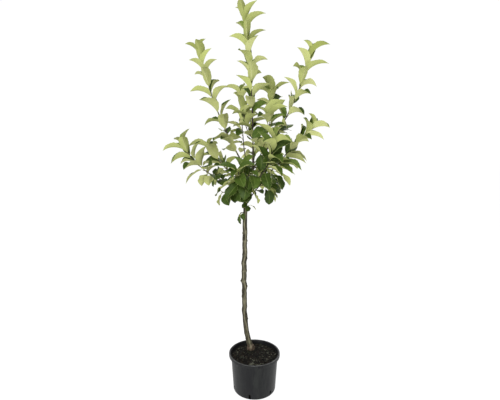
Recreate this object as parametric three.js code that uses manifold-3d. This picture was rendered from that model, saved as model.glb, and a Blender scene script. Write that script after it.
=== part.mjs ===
// Dwarf apple tree in a nursery pot: a grafted tree with a bushy head on a bare stem.
//
// Units are millimetres and +Z is up. The origin is the centre of the pot's flat
// underside. -Y is the front, and +X is on the right of someone who stands there.
//
// The trunk runs up from the soil into the head. Each bough leaves it as one tapering
// limb and ends where its leaves begin. From the bough's tip on, a mass of foliage is
// one closed solid: a stem, side twigs on some, and leaves set round them by the
// golden angle. Every mass keeps to the space that is nearer to its own stem than to
// any other's, and no leaf comes near bare wood.

import * as THREE from "three";
import Module from "manifold-3d";
import { mergeVertices } from "three/addons/utils/BufferGeometryUtils.js";

const wasm = await Module();
wasm.setup();

const { degToRad, lerp, smoothstep } = THREE.MathUtils;
const UP = new THREE.Vector3(0, 0, 1);

// ---------------------------------------------------------------- driving dimensions

const GAP = 0.3; // air between two solids that touch on the real plant

const POT = {
  height: 189,
  rimRadius: 124,
  throatRadius: 114.5,
  shoulderHeight: 179,
  shoulderRadius: 113.7,
  footRadius: 103.2,
  footRounding: 9,
  wall: 2.4,
  lipDrop: 15,
  lipRounding: 1.2,
  slots: 6,
  slotWidth: 9,
  slotFoot: 3.4,
  slotHeight: 24,
  slotDepth: 17,
  firstSlotAzimuth: -103,
  segments: 36,
};

const SOIL = {
  level: 173.7,
  clearance: 0.8,
  ballFootRadius: 88,
  ballShoulder: 30,
  lumpHeight: 1.7,
  broadLumps: [17, 13],
  fineLumps: [7.3, 9.1],
  rings: 5,
  segments: 30,
  flatRadius: 34,
  easeRadius: 60,
};

// Knots along the trunk: height with the centre's x and y, and height with the radius.
const TRUNK = {
  cut: SOIL.level + GAP,
  top: 1098,
  sides: 12,
  ringStep: 44,
  line: [
    [174, -15, 56],
    [226, -30, 53],
    [276, -39, 50],
    [350, -46, 46],
    [500, -50, 39],
    [700, -46, 34],
    [890, -45, 30],
    [970, -36, 29],
    [1055, -18, 28],
    [1100, -8, 27],
  ],
  girth: [
    [174, 14.4],
    [214, 13.6],
    [240, 12.6],
    [300, 12.2],
    [640, 11.9],
    [820, 10.4],
    [920, 9],
    [1020, 7.2],
    [1100, 5.4],
  ],
};

// Pruned spurs and buds that stand out of the bark.
const KNOB_REACH = 8;
const KNOBS = [
  { height: 514, azimuth: -20, rise: 4 },
  { height: 540, azimuth: 190, rise: 4.6 },
  { height: 653, azimuth: -15, rise: 2.8 },
];

// The rootstock is a short thick stump. The grafted stem leaves its left shoulder.
const STUMP = {
  centre: [-16.5, 56],
  girth: [
    [174, 20.5],
    [181, 19.8],
    [191, 18.4],
    [199, 15],
    [204.5, 9],
  ],
  top: 207,
  scionFoot: 180,
};

// Limbs by name. foot is a height on the trunk. A side twig has on and at in its place:
// the limb that carries it, and how far along. rise is the slope in degrees at the foot
// and at the tip. The leaves begin at bare, and age falls from 1, old, to 0, just open.
const LIMBS = [
  { name: "leader", foot: 1098, azimuth: 205, rise: [91, 82], length: 641,
    bare: 95, leaves: 25, age: [0.62, 0], seed: 551 },
  { name: "leader_twig", on: "leader", at: 120, azimuth: 150, rise: [45, 88], length: 125,
    bare: 20, leaves: 7, age: [0.6, 0.3], seed: 559 },
  { name: "left_tall", foot: 1050, azimuth: 154, rise: [54, 76], length: 632,
    bare: 115, leaves: 20, age: [0.62, 0], seed: 273 },
  { name: "right_tall", foot: 1085, azimuth: -18, rise: [49, 76], length: 560,
    bare: 165, leaves: 17, age: [0.6, 0], seed: 314 },
  { name: "right_tall_twig", on: "right_tall", at: 170, azimuth: -130, rise: [40, 84], length: 120,
    bare: 18, leaves: 7, age: [0.6, 0.3], seed: 569 },
  { name: "left_low", foot: 1000, azimuth: 189, rise: [6, 60], length: 365,
    bare: 75, leaves: 19, age: [1, 0.15], seed: 525 },
  { name: "left_mid", foot: 1020, azimuth: 160, rise: [20, 56], length: 260,
    bare: 80, leaves: 10, age: [0.7, 0.2], seed: 552 },
  { name: "right_low", foot: 918, azimuth: -11, rise: [55, 44], length: 462,
    bare: 105, leaves: 20, age: [0.85, 0.15], seed: 240 },
  { name: "right_low_spur", on: "right_low", at: 112, azimuth: -50, rise: [12, -6], length: 56,
    bare: 14, leaves: 7, age: [1, 0.95], droop: 0.9, seed: 555 },
  { name: "back_right", foot: 1066, azimuth: 58, rise: [36, 92], length: 455,
    bare: 140, leaves: 16, age: [0.75, 0.1], seed: 605 },
  { name: "back_left", foot: 1025, azimuth: 104, rise: [46, 92], length: 450,
    bare: 120, leaves: 16, age: [0.7, 0.1], seed: 33 },
  { name: "front_right", foot: 1022, azimuth: -62, rise: [8, 76], length: 320,
    bare: 70, leaves: 17, age: [0.85, 0.1], seed: 287 },
  { name: "front_right_twig", on: "front_right", at: 110, azimuth: -25, rise: [20, 50], length: 110,
    bare: 20, leaves: 7, age: [0.8, 0.3], seed: 322 },
  { name: "front_low", foot: 975, azimuth: -104, rise: [26, 44], length: 190,
    bare: 24, leaves: 16, age: [1, 0.45], seed: 325 },
  { name: "front_low_twig_right", on: "front_low", at: 75, azimuth: -70, rise: [30, 50], length: 110,
    bare: 14, leaves: 11, age: [1, 0.6], seed: 540 },
  { name: "front_low_twig_up", on: "front_low", at: 70, azimuth: -95, rise: [62, 80], length: 95,
    bare: 14, leaves: 8, age: [0.62, 0.2], seed: 561 },
  { name: "front_low_spur", on: "front_low", at: 34, azimuth: -60, rise: [2, -8], length: 80,
    bare: 10, leaves: 7, age: [1, 0.95], seed: 527 },
  { name: "left_under", foot: 940, azimuth: -168, rise: [34, 4], length: 120,
    bare: 34, leaves: 8, age: [1, 0.9], droop: 0.95, seed: 529 },
  { name: "back_low", foot: 985, azimuth: 78, rise: [30, 60], length: 300,
    bare: 60, leaves: 13, age: [0.72, 0.15], seed: 543 },
  { name: "back_low_twig", on: "back_low", at: 90, azimuth: 35, rise: [25, 50], length: 150,
    bare: 20, leaves: 8, age: [0.72, 0.4], seed: 545 },
  { name: "back_turn", foot: 950, azimuth: 128, rise: [28, 50], length: 250,
    bare: 50, leaves: 10, age: [0.72, 0.3], seed: 582 },
  { name: "stem_left", foot: 878, azimuth: 205, rise: [10, 0], length: 22,
    bare: 0, leaves: 3, age: [1, 0.9], leafSize: 0.46, droop: 1.2, seed: 330 },
  { name: "stem_right", foot: 905, azimuth: -40, rise: [10, 0], length: 22,
    bare: 0, leaves: 3, age: [1, 0.9], leafSize: 0.42, droop: 1.2, seed: 303 },
];

const LIMB = {
  step: 20,
  boughStep: 45,
  stemStep: 60,
  boughSides: 6,
  stemSides: 3,
  footRadius: 1.5,
  radiusPerLength: 0.0036,
  tipRadius: 1.2,
  collar: 0.5,
  collarReach: 12,
};

// Each leaf measure goes from its value on a just opened leaf to that on an old one.
// lift is the petiole's angle off the stem, turn the blade's further turn, arch how far
// the blade bends along its length, fold how far its halves fold up, and sky how much
// its face turns up to the light. Angles are in degrees.
const LEAF = {
  length: [93, 82],
  width: [0.55, 0.74],
  petiole: [12, 24],
  lift: [20, 64],
  turn: [-5, 12],
  arch: [60, 42],
  fold: [30, 10],
  sky: [0.08, 0.75],
  roll: [14, 30],
};
const SPREAD = { lift: 9, length: 0.12, width: 0.1, petiole: 0.25, turn: 8, arch: 16, fold: 7 };
const DROOP = 0.95;
const DROOP_FROM_AGE = 0.35;
const DROOP_POWER = 1.3;
const UPTURN = { petiole: [0.25, 0.5], blade: [0.2, 1.15] }; // at no droop, and lost at full droop
const BLADE_THICKNESS = 1.4;
const PETIOLE_RADIUS = 1;
const BLADE_STATIONS = [0.3, 0.68];
const BLADE_HALF_WIDTHS = [0.98, 0.86];

// Leaves are set round the stem by the golden angle. One that doesn't fit is tried again
// turned, and then smaller.
const GOLDEN_ANGLE = 137.5;
const FIRST_LEAF = 4;
const LAST_LEAF = 3;
const LEAF_CROWDING = 0.9;
const TOP_LEAF_SIZE = 0.68;
const SWINGS = [0, 28, -28, 56, -56, 90, -90, 130, -130, 180];
const SIZES = [1, 0.85, 0.7];
const TRIES = SIZES.flatMap((size) => SWINGS.map((swing) => [size, swing]));

// Room that a leaf needs: off bare wood, off its own mass's stems, inside the border of
// its space, and off the other leaves.
const WOOD_ROOM = 9;
const STEM_ROOM = 5;
const SPACE_MARGIN = 2;
const LEAF_ROOM = 6;
const BARE_WOOD_RADIUS = 3.5;
const PROBE_STATIONS = [0.08, 0.22, 0.36, 0.5, 0.64, 0.78, 0.92];
const PROBE_HALF_WIDTHS = [0.45, 0.82, 0.98, 0.98, 0.86, 0.64, 0.3];
const PROBE_SHARES = [-1, -0.5, 0, 0.5, 1];

const COLOURS = {
  pot: 0x363738,
  soil: 0x221f1b,
  bark: 0x67624f,
  shoot: 0x5a5244,
  foliage: 0x7f9a52,
};

// ---------------------------------------------------------------- chance and curves

// A small repeatable random number source.
class Dice {
  constructor(seed) {
    this.state = seed * 7919 + 17;
  }

  roll() {
    this.state = (this.state * 48271) % 2147483647;
    return this.state / 2147483647;
  }

  spread(amount) {
    return (this.roll() * 2 - 1) * amount;
  }
}

// A smooth curve through knots of [height, value, ...], read at a height.
function through(knots, height) {
  const last = knots.length - 1;
  const slope = (i, k) => {
    const before = knots[Math.max(i - 1, 0)];
    const after = knots[Math.min(i + 1, last)];
    return (after[k] - before[k]) / (after[0] - before[0]);
  };
  let i = 0;
  while (i < last - 1 && height > knots[i + 1][0]) i += 1;
  const span = knots[i + 1][0] - knots[i][0];
  const t = (height - knots[i][0]) / span;
  const values = [];
  for (let k = 1; k < knots[0].length; k += 1) {
    const start = (1 + 2 * t) * (1 - t) ** 2 * knots[i][k] + t * (1 - t) ** 2 * span * slope(i, k);
    const end = t * t * (3 - 2 * t) * knots[i + 1][k] + t * t * (t - 1) * span * slope(i + 1, k);
    values.push(start + end);
  }
  return values;
}

function trunkCentre(height) {
  const [x, y] = through(TRUNK.line, height);
  return new THREE.Vector3(x, y, height);
}

const trunkRadius = (height) => through(TRUNK.girth, height)[0];

// ---------------------------------------------------------------- closed skins

// A closed skin over a row of rings. All rings have the same number of points, but the
// first and the last may be a single point. A ring at an end is closed flat.
function loft(rings) {
  const positions = [];
  const faces = [];
  const starts = [];
  for (const ring of rings) {
    starts.push(positions.length / 3);
    for (const point of ring) positions.push(point.x, point.y, point.z);
  }
  const corner = (row, i) => starts[row] + (i % rings[row].length);
  for (let row = 0; row + 1 < rings.length; row += 1) {
    const sides = Math.max(rings[row].length, rings[row + 1].length);
    for (let i = 0; i < sides; i += 1) {
      const across = [corner(row, i), corner(row + 1, i + 1)];
      if (rings[row].length > 1) faces.push([across[0], corner(row, i + 1), across[1]]);
      if (rings[row + 1].length > 1) faces.push([...across, corner(row + 1, i)]);
    }
  }
  const last = rings.length - 1;
  for (let i = 1; i + 1 < rings[0].length; i += 1) {
    faces.push([corner(0, 0), corner(0, i + 1), corner(0, i)]);
  }
  for (let i = 1; i + 1 < rings[last].length; i += 1) {
    faces.push([corner(last, 0), corner(last, i), corner(last, i + 1)]);
  }
  return facesOut(positions, faces);
}

// The geometry of a closed skin, with its faces turned outwards.
function facesOut(positions, faces) {
  const at = (i) => new THREE.Vector3().fromArray(positions, i * 3);
  let volume = 0;
  for (const [a, b, c] of faces) volume += at(a).dot(at(b).cross(at(c)));
  const outward = volume > 0 ? faces : faces.map(([a, b, c]) => [a, c, b]);
  const geometry = new THREE.BufferGeometry();
  geometry.setAttribute("position", new THREE.Float32BufferAttribute(positions, 3));
  geometry.setIndex(outward.flat());
  return geometry;
}

// A three.js geometry as a solid that can be joined and cut.
function solidOf(geometry) {
  const bare = geometry.clone();
  bare.deleteAttribute("normal");
  bare.deleteAttribute("uv");
  const merged = mergeVertices(bare, 1e-4);
  const index = merged.index.array;
  const triangles = [];
  for (let i = 0; i < index.length; i += 3) {
    const [a, b, c] = index.slice(i, i + 3);
    if (a !== b && b !== c && c !== a) triangles.push(a, b, c);
  }
  const vertProperties = new Float32Array(merged.attributes.position.array);
  const triVerts = new Uint32Array(triangles);
  return new wasm.Manifold(new wasm.Mesh({ numProp: 3, vertProperties, triVerts }));
}

// The largest piece of a solid, without loose scraps and sealed hollows, as a geometry.
function geometryOf(solid) {
  const pieces = solid.decompose();
  const largest = pieces.reduce((best, piece) => (piece.volume() > best.volume() ? piece : best));
  const mesh = largest.getMesh();
  const geometry = new THREE.BufferGeometry();
  geometry.setAttribute("position", new THREE.Float32BufferAttribute(mesh.vertProperties, 3));
  geometry.setIndex(Array.from(mesh.triVerts));
  return geometry;
}

const joined = (solids) => solids.reduce((whole, solid) => whole.add(solid));

// ---------------------------------------------------------------- pot and soil

const potInnerRadius = (height) => {
  const up = (height - POT.footRounding) / (POT.shoulderHeight - POT.footRounding);
  return lerp(POT.footRadius, POT.shoulderRadius, up) - POT.wall;
};

// A quarter circle from straight out to straight up, as radius and height.
function footArc(centreRadius, centreHeight, radius, steps) {
  const points = [];
  for (let i = 0; i <= steps; i += 1) {
    const angle = degToRad(-90 + (90 * i) / steps);
    points.push([centreRadius + radius * Math.cos(angle), centreHeight + radius * Math.sin(angle)]);
  }
  return points;
}

// The pot is turned from one profile: floor, rounded foot, tapering wall, a shoulder that
// flares, and a flat rim whose edge turns down.
function potGeometry() {
  const { height, rimRadius, throatRadius, footRadius, footRounding, wall, lipDrop, lipRounding } = POT;
  const { shoulderHeight, shoulderRadius } = POT;
  const footCentre = footRadius - footRounding;
  const profile = [
    [0, 0],
    ...footArc(footCentre, footRounding, footRounding, 3),
    [shoulderRadius, shoulderHeight],
    [throatRadius + wall, height - wall],
    [rimRadius - wall, height - wall],
    [rimRadius - wall, height - lipDrop],
    [rimRadius, height - lipDrop],
    [rimRadius, height - lipRounding],
    [rimRadius - lipRounding, height],
    [throatRadius + lipRounding, height],
    [throatRadius, height - lipRounding],
    [shoulderRadius - wall, shoulderHeight + lipRounding],
    ...footArc(footCentre, footRounding, footRounding - wall, 2).reverse(),
    [0, wall],
  ];
  const points = profile.map(([radius, z]) => new THREE.Vector2(radius, z));
  const turned = new THREE.LatheGeometry(points, POT.segments).rotateX(Math.PI / 2);
  const slot = new THREE.BoxGeometry(POT.slotDepth, POT.slotWidth, POT.slotHeight);
  slot.translate(footRadius - POT.slotDepth / 2 + wall, 0, POT.slotFoot + POT.slotHeight / 2);
  let pot = solidOf(turned);
  for (let i = 0; i < POT.slots; i += 1) {
    const azimuth = degToRad(POT.firstSlotAzimuth + (i * 360) / POT.slots);
    pot = pot.subtract(solidOf(slot.clone().rotateZ(azimuth)));
  }
  return geometryOf(pot);
}

// Loose soil, level where the trunk stands and lumpy away from it. The root ball narrows
// to its foot.
function soilHeight(x, y) {
  const [trunkX, trunkY] = STUMP.centre;
  const ease = smoothstep(Math.hypot(x - trunkX, y - trunkY), SOIL.flatRadius, SOIL.easeRadius);
  const [broadX, broadY] = SOIL.broadLumps;
  const [fineX, fineY] = SOIL.fineLumps;
  const broad = Math.sin(x / broadX + 1) * Math.cos(y / broadY);
  const fine = Math.sin(x / fineX) * Math.sin(y / fineY + 2);
  return SOIL.level + ease * SOIL.lumpHeight * (broad + fine);
}

function soilGeometry() {
  const ring = (radius, heightAt) => {
    const points = [];
    for (let i = 0; i < SOIL.segments; i += 1) {
      const angle = (i / SOIL.segments) * 2 * Math.PI;
      const x = radius * Math.cos(angle);
      const y = radius * Math.sin(angle);
      points.push(new THREE.Vector3(x, y, heightAt(x, y)));
    }
    return points;
  };
  const floor = POT.wall + SOIL.clearance;
  const topRadius = potInnerRadius(SOIL.level) - SOIL.clearance;
  const rings = [
    [new THREE.Vector3(0, 0, floor)],
    ring(SOIL.ballFootRadius, () => floor),
    ring(potInnerRadius(SOIL.ballShoulder) - SOIL.clearance, () => SOIL.ballShoulder),
  ];
  for (let i = SOIL.rings; i > 0; i -= 1) rings.push(ring((topRadius * i) / SOIL.rings, soilHeight));
  rings.push([new THREE.Vector3(0, 0, soilHeight(0, 0))]);
  return loft(rings);
}

// ---------------------------------------------------------------- trunk

// How far a knob lifts the bark at a height and an angle.
function knobRise(height, angle) {
  let rise = 0;
  for (const knob of KNOBS) {
    const near = Math.exp(-(((height - knob.height) / KNOB_REACH) ** 2) * 2);
    const facing = Math.max(0, Math.cos(angle - degToRad(knob.azimuth)));
    rise += knob.rise * near * facing ** 4;
  }
  return rise;
}

function trunkRing(height, extra) {
  const centre = trunkCentre(height);
  const points = [];
  for (let i = 0; i < TRUNK.sides; i += 1) {
    const angle = (i / TRUNK.sides) * 2 * Math.PI;
    const radius = trunkRadius(height) + knobRise(height, angle) + extra;
    points.push(new THREE.Vector3(
      centre.x + radius * Math.cos(angle),
      centre.y + radius * Math.sin(angle),
      height,
    ));
  }
  return points;
}

// The grafted stem. With extra it is a jacket round that stem, to cut boughs clear of it.
function scionSolid(extra) {
  const { scionFoot } = STUMP;
  const top = TRUNK.top + extra;
  const steps = Math.round((top - scionFoot) / TRUNK.ringStep);
  const heights = KNOBS.flatMap(({ height }) => [height - KNOB_REACH, height, height + KNOB_REACH]);
  for (let i = 0; i <= steps; i += 1) {
    const height = lerp(scionFoot, top, i / steps);
    if (heights.every((other) => Math.abs(other - height) > KNOB_REACH)) heights.push(height);
  }
  heights.sort((a, b) => a - b);
  return solidOf(loft(heights.map((height) => trunkRing(height, extra))));
}

function stumpSolid() {
  const [x, y] = STUMP.centre;
  const rings = STUMP.girth.map(([height, radius]) => {
    const points = [];
    for (let i = 0; i < TRUNK.sides; i += 1) {
      const angle = (i / TRUNK.sides) * 2 * Math.PI;
      points.push(new THREE.Vector3(x + radius * Math.cos(angle), y + radius * Math.sin(angle), height));
    }
    return points;
  });
  return solidOf(loft([...rings, [new THREE.Vector3(x, y, STUMP.top)]]));
}

// ---------------------------------------------------------------- limbs

// The way a limb takes: short straight steps in one upright plane, with a changing slope.
function limbPath(foot, limb) {
  const steps = Math.max(2, Math.ceil(limb.length / LIMB.step));
  const azimuth = degToRad(limb.azimuth);
  const points = [foot];
  for (let i = 0; i < steps; i += 1) {
    const slope = degToRad(lerp(limb.rise[0], limb.rise[1], (i + 0.5) / steps));
    const step = new THREE.Vector3(
      Math.cos(azimuth) * Math.cos(slope),
      Math.sin(azimuth) * Math.cos(slope),
      Math.sin(slope),
    );
    points.push(points[i].clone().addScaledVector(step, limb.length / steps));
  }
  return points;
}

// The place and heading at a distance along a path.
function along(path, distance) {
  let left = distance;
  for (let i = 0; i + 1 < path.length; i += 1) {
    const step = path[i + 1].clone().sub(path[i]);
    const length = step.length();
    if (left <= length || i + 2 === path.length) {
      const heading = step.divideScalar(length);
      return { point: path[i].clone().addScaledVector(heading, left), heading };
    }
    left -= length;
  }
  throw new Error("a path needs two points");
}

const paths = {};
for (const limb of LIMBS) {
  const foot = limb.on ? along(paths[limb.on], limb.at).point : trunkCentre(limb.foot);
  paths[limb.name] = limbPath(foot, limb);
}

const massOf = (limb) => limb.on ?? limb.name;
const acrossLimb = (limb) => {
  const azimuth = degToRad(limb.azimuth);
  return new THREE.Vector3(-Math.sin(azimuth), Math.cos(azimuth), 0);
};

// A limb's radius: an even taper, with a collar where it leaves what carries it.
function limbRadius(limb, distance) {
  const foot = LIMB.footRadius + LIMB.radiusPerLength * limb.length;
  const collar = 1 + LIMB.collar * Math.exp(-distance / LIMB.collarReach);
  return lerp(foot, LIMB.tipRadius, distance / limb.length) * collar;
}

// A stretch of a limb as a tube, from one distance along it to another. With extra it is
// a jacket round that stretch.
function limbSolid(limb, from, to, step, sides, extra) {
  const path = paths[limb.name];
  const across = acrossLimb(limb);
  const count = Math.max(1, Math.round((to - from) / step));
  const rings = [];
  for (let i = 0; i <= count; i += 1) {
    const distance = lerp(from, to, i / count);
    const { point, heading } = along(path, distance);
    const over = across.clone().cross(heading);
    const radius = limbRadius(limb, distance) + extra;
    const ring = [];
    for (let k = 0; k < sides; k += 1) {
      const angle = (k / sides) * 2 * Math.PI;
      ring.push(point.clone()
        .addScaledVector(across, radius * Math.cos(angle))
        .addScaledVector(over, radius * Math.sin(angle)));
    }
    rings.push(ring);
  }
  return solidOf(loft(rings));
}

// ---------------------------------------------------------------- leaves

// Everything that sets one leaf: where its petiole roots, its axes and its measures.
function leafAt(dice, root, heading, across, turn, age, size, limb) {
  const style = {};
  for (const [key, [young, old]] of Object.entries(LEAF)) style[key] = lerp(young, old, age);
  const ripeness = Math.max(0, (age - DROOP_FROM_AGE) / (1 - DROOP_FROM_AGE));
  const droop = DROOP * ripeness ** DROOP_POWER * (limb.droop ?? 1);
  const upturn = ([full, loss]) => full - loss * droop;
  const outward = heading.clone().cross(across).normalize().multiplyScalar(Math.cos(turn));
  outward.addScaledVector(across, Math.sin(turn));

  const leaning = (angle, rise) => heading.clone().multiplyScalar(Math.cos(angle))
    .addScaledVector(outward, Math.sin(angle))
    .addScaledVector(UP, rise)
    .normalize();
  const lift = degToRad(style.lift + dice.spread(SPREAD.lift));
  const petioleWay = leaning(lift, upturn(UPTURN.petiole));
  const length = style.length * size * (1 + dice.spread(SPREAD.length)) * (limb.leafSize ?? 1);
  const width = length * style.width * (1 + dice.spread(SPREAD.width));
  const petiole = style.petiole * size * (1 + dice.spread(SPREAD.petiole));
  const base = root.clone().addScaledVector(petioleWay, petiole);

  const bladeAngle = lift + degToRad(style.turn + dice.spread(SPREAD.turn));
  const ahead = leaning(bladeAngle, upturn(UPTURN.blade));
  const face = heading.clone().multiplyScalar(Math.sin(bladeAngle))
    .addScaledVector(outward, -Math.cos(bladeAngle))
    .normalize();
  face.multiplyScalar(1 - style.sky).addScaledVector(UP, style.sky).normalize();
  face.addScaledVector(ahead, -face.dot(ahead));
  if (face.length() < 0.05) face.copy(heading).addScaledVector(ahead, -heading.dot(ahead));
  face.normalize();
  const level = ahead.clone().cross(face);
  const roll = degToRad(dice.spread(style.roll));
  face.multiplyScalar(Math.cos(roll)).addScaledVector(level, Math.sin(roll)).normalize();
  const side = ahead.clone().cross(face);
  const arch = degToRad(style.arch + dice.spread(SPREAD.arch));
  const fold = degToRad(style.fold + dice.spread(SPREAD.fold));
  return { root, base, ahead, face, side, length, width, arch, fold };
}

// A point of the blade's midrib, which bends evenly away from its face, and the normal.
function midrib(leaf, station) {
  const angle = leaf.arch * station;
  const point = leaf.base.clone()
    .addScaledVector(leaf.ahead, (leaf.length * Math.sin(angle)) / leaf.arch)
    .addScaledVector(leaf.face, (-leaf.length * (1 - Math.cos(angle))) / leaf.arch);
  const normal = leaf.face.clone()
    .multiplyScalar(Math.cos(angle))
    .addScaledVector(leaf.ahead, Math.sin(angle));
  return { point, normal };
}

// A point of the blade: 1 is its right edge, -1 its left edge, and 0 the midrib.
function bladePoint(leaf, station, halfWidth, share) {
  const { point, normal } = midrib(leaf, station);
  const reach = (leaf.width / 2) * halfWidth * share;
  return point
    .addScaledVector(leaf.side, reach * Math.cos(leaf.fold))
    .addScaledVector(normal, Math.abs(reach) * Math.sin(leaf.fold));
}

// Petiole and blade as one closed solid. The rings have four corners, but two of them
// meet at the petiole's root, and the tip is a point. corner's shares are of the
// petiole's radius.
function leafSolid(leaf) {
  const corner = (centre, across, up) => centre.clone()
    .addScaledVector(leaf.side, across * PETIOLE_RADIUS)
    .addScaledVector(leaf.face, up * PETIOLE_RADIUS);
  const { root, base } = leaf;
  const rings = [
    [corner(root, 1, -0.6), corner(root, 0, 1.1), corner(root, -1, -0.6), corner(root, -1, -0.6)],
    [corner(base, 1, 0), corner(base, 0, 1), corner(base, -1, 0), corner(base, 0, -1)],
  ];
  BLADE_STATIONS.forEach((station, i) => {
    const { point, normal } = midrib(leaf, station);
    rings.push([
      bladePoint(leaf, station, BLADE_HALF_WIDTHS[i], 1),
      point.clone().addScaledVector(normal, BLADE_THICKNESS / 2),
      bladePoint(leaf, station, BLADE_HALF_WIDTHS[i], -1),
      point.clone().addScaledVector(normal, -BLADE_THICKNESS / 2),
    ]);
  });
  rings.push([midrib(leaf, 1).point]);
  return solidOf(loft(rings));
}

// Points all over a blade, close enough that no limb passes between them unseen. The
// first row is at the petiole.
function probesOf(leaf) {
  const points = [];
  PROBE_STATIONS.forEach((station, i) => {
    const halfWidth = PROBE_HALF_WIDTHS[i];
    for (const share of PROBE_SHARES) points.push(bladePoint(leaf, station, halfWidth, share));
  });
  points.push(midrib(leaf, 1).point);
  return points;
}

// ---------------------------------------------------------------- room for leaves

const segmentsOf = (points) => points.slice(1).map((end, i) => new THREE.Line3(points[i], end));
const nearest = new THREE.Vector3();
const distanceTo = (point, segment) => {
  segment.closestPointToPoint(point, true, nearest);
  return nearest.distanceTo(point);
};

// Bare wood with its radius, and the leafy stems of each mass.
const bareWood = [];
const leafyStems = {};
for (let height = TRUNK.cut; height < TRUNK.top; height += LIMB.step) {
  const end = Math.min(height + LIMB.step, TRUNK.top);
  const segment = new THREE.Line3(trunkCentre(height), trunkCentre(end));
  bareWood.push({ segment, radius: trunkRadius(height) });
}
for (const limb of LIMBS) {
  const path = paths[limb.name];
  const bare = limb.on ? 0 : limb.bare;
  const stepLength = limb.length / (path.length - 1);
  const split = along(path, bare).point;
  const head = path.filter((_, i) => i * stepLength < bare);
  const tail = path.filter((_, i) => i * stepLength > bare + 1e-6);
  if (head.length > 0) {
    for (const segment of segmentsOf([...head, split])) {
      bareWood.push({ segment, radius: BARE_WOOD_RADIUS });
    }
  }
  leafyStems[massOf(limb)] ??= [];
  leafyStems[massOf(limb)].push(...segmentsOf([split, ...tail]));
}

// A leaf fits where it is off all wood and inside the space of its own mass.
function fits(leaf, mass) {
  for (const probe of leaf.probes) {
    const touches = ({ segment, radius }) => distanceTo(probe, segment) < radius + WOOD_ROOM;
    if (bareWood.some(touches)) return false;
    const own = Math.min(...leafyStems[mass].map((segment) => distanceTo(probe, segment)));
    if (own < STEM_ROOM) return false;
    for (const [other, stems] of Object.entries(leafyStems)) {
      if (other === mass) continue;
      if (stems.some((segment) => distanceTo(probe, segment) < own + SPACE_MARGIN)) return false;
    }
  }
  return true;
}

// Two blades are clear of each other where no probes of theirs, past the petiole, meet.
function clearOf(leaf, other) {
  const skipped = PROBE_SHARES.length;
  return leaf.probes.slice(skipped).every((probe) => (
    other.probes.slice(skipped).every((point) => probe.distanceTo(point) >= LEAF_ROOM)
  ));
}

// Sets the leaves of one limb, from its first to its tip, among those that its mass has.
function setLeaves(limb, leaves) {
  const dice = new Dice(limb.seed);
  const across = acrossLimb(limb);
  const firstTurn = dice.roll() * 360;
  for (let i = 0; i < limb.leaves; i += 1) {
    const share = i / (limb.leaves - 1);
    const distance = lerp(limb.bare + FIRST_LEAF, limb.length - LAST_LEAF, share ** LEAF_CROWDING);
    const { point, heading } = along(paths[limb.name], distance);
    const age = lerp(limb.age[0], limb.age[1], share);
    const size = share === 1 && limb.leaves > 3 ? TOP_LEAF_SIZE : 1;
    const seed = Math.floor(dice.roll() * 1e6) + 1;
    for (const [shrink, swing] of TRIES) {
      const turn = degToRad(firstTurn + i * GOLDEN_ANGLE + swing);
      const leaf = leafAt(new Dice(seed), point, heading, across, turn, age, size * shrink, limb);
      leaf.probes = probesOf(leaf);
      if (fits(leaf, massOf(limb)) && leaves.every((other) => clearOf(leaf, other))) {
        leaves.push(leaf);
        break;
      }
    }
  }
}

// ---------------------------------------------------------------- the scene

const tree = new THREE.Group();

function add(name, geometry, colour, roughness) {
  const shaded = geometry.clone();
  shaded.computeVertexNormals();
  const material = new THREE.MeshStandardMaterial({ color: colour, roughness, metalness: 0 });
  const mesh = new THREE.Mesh(shaded, material);
  mesh.name = name;
  tree.add(mesh);
}

add("pot", potGeometry(), COLOURS.pot, 0.45);
add("soil", soilGeometry(), COLOURS.soil, 0.95);
add("trunk", geometryOf(stumpSolid().add(scionSolid(0))), COLOURS.bark, 0.8);

// Each bough is cut clear of the trunk and of the boughs before it.
let taken = scionSolid(GAP);
for (const limb of LIMBS.filter((each) => !each.on && each.bare > 0)) {
  const tube = (end, extra) => limbSolid(limb, 0, end, LIMB.boughStep, LIMB.boughSides, extra);
  add(`bough_${limb.name}`, geometryOf(tube(limb.bare, 0).subtract(taken)), COLOURS.shoot, 0.7);
  taken = taken.add(tube(limb.bare + GAP, GAP));
}

for (const mass of Object.keys(leafyStems)) {
  const solids = [];
  const leaves = [];
  for (const limb of LIMBS.filter((each) => massOf(each) === mass)) {
    const start = limb.on ? 0 : limb.bare;
    solids.push(limbSolid(limb, start, limb.length, LIMB.stemStep, LIMB.stemSides, 0));
    setLeaves(limb, leaves);
  }
  solids.push(...leaves.map(leafSolid));
  add(`leaves_${mass}`, geometryOf(joined(solids).subtract(taken)), COLOURS.foliage, 0.6);
}

export default tree;
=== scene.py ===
# %% [markdown]
# # A young apple tree in a nursery pot
#
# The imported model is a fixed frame: a pot, its soil, a trunk, thirteen boughs and
# fifteen masses of leaves. This lesson dresses that frame. The pot is turned like
# crockery, the bark is a skin with real relief, and the leaves are grown again by the
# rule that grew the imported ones, each with a toothed margin, veins and a bend of its own.

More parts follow.
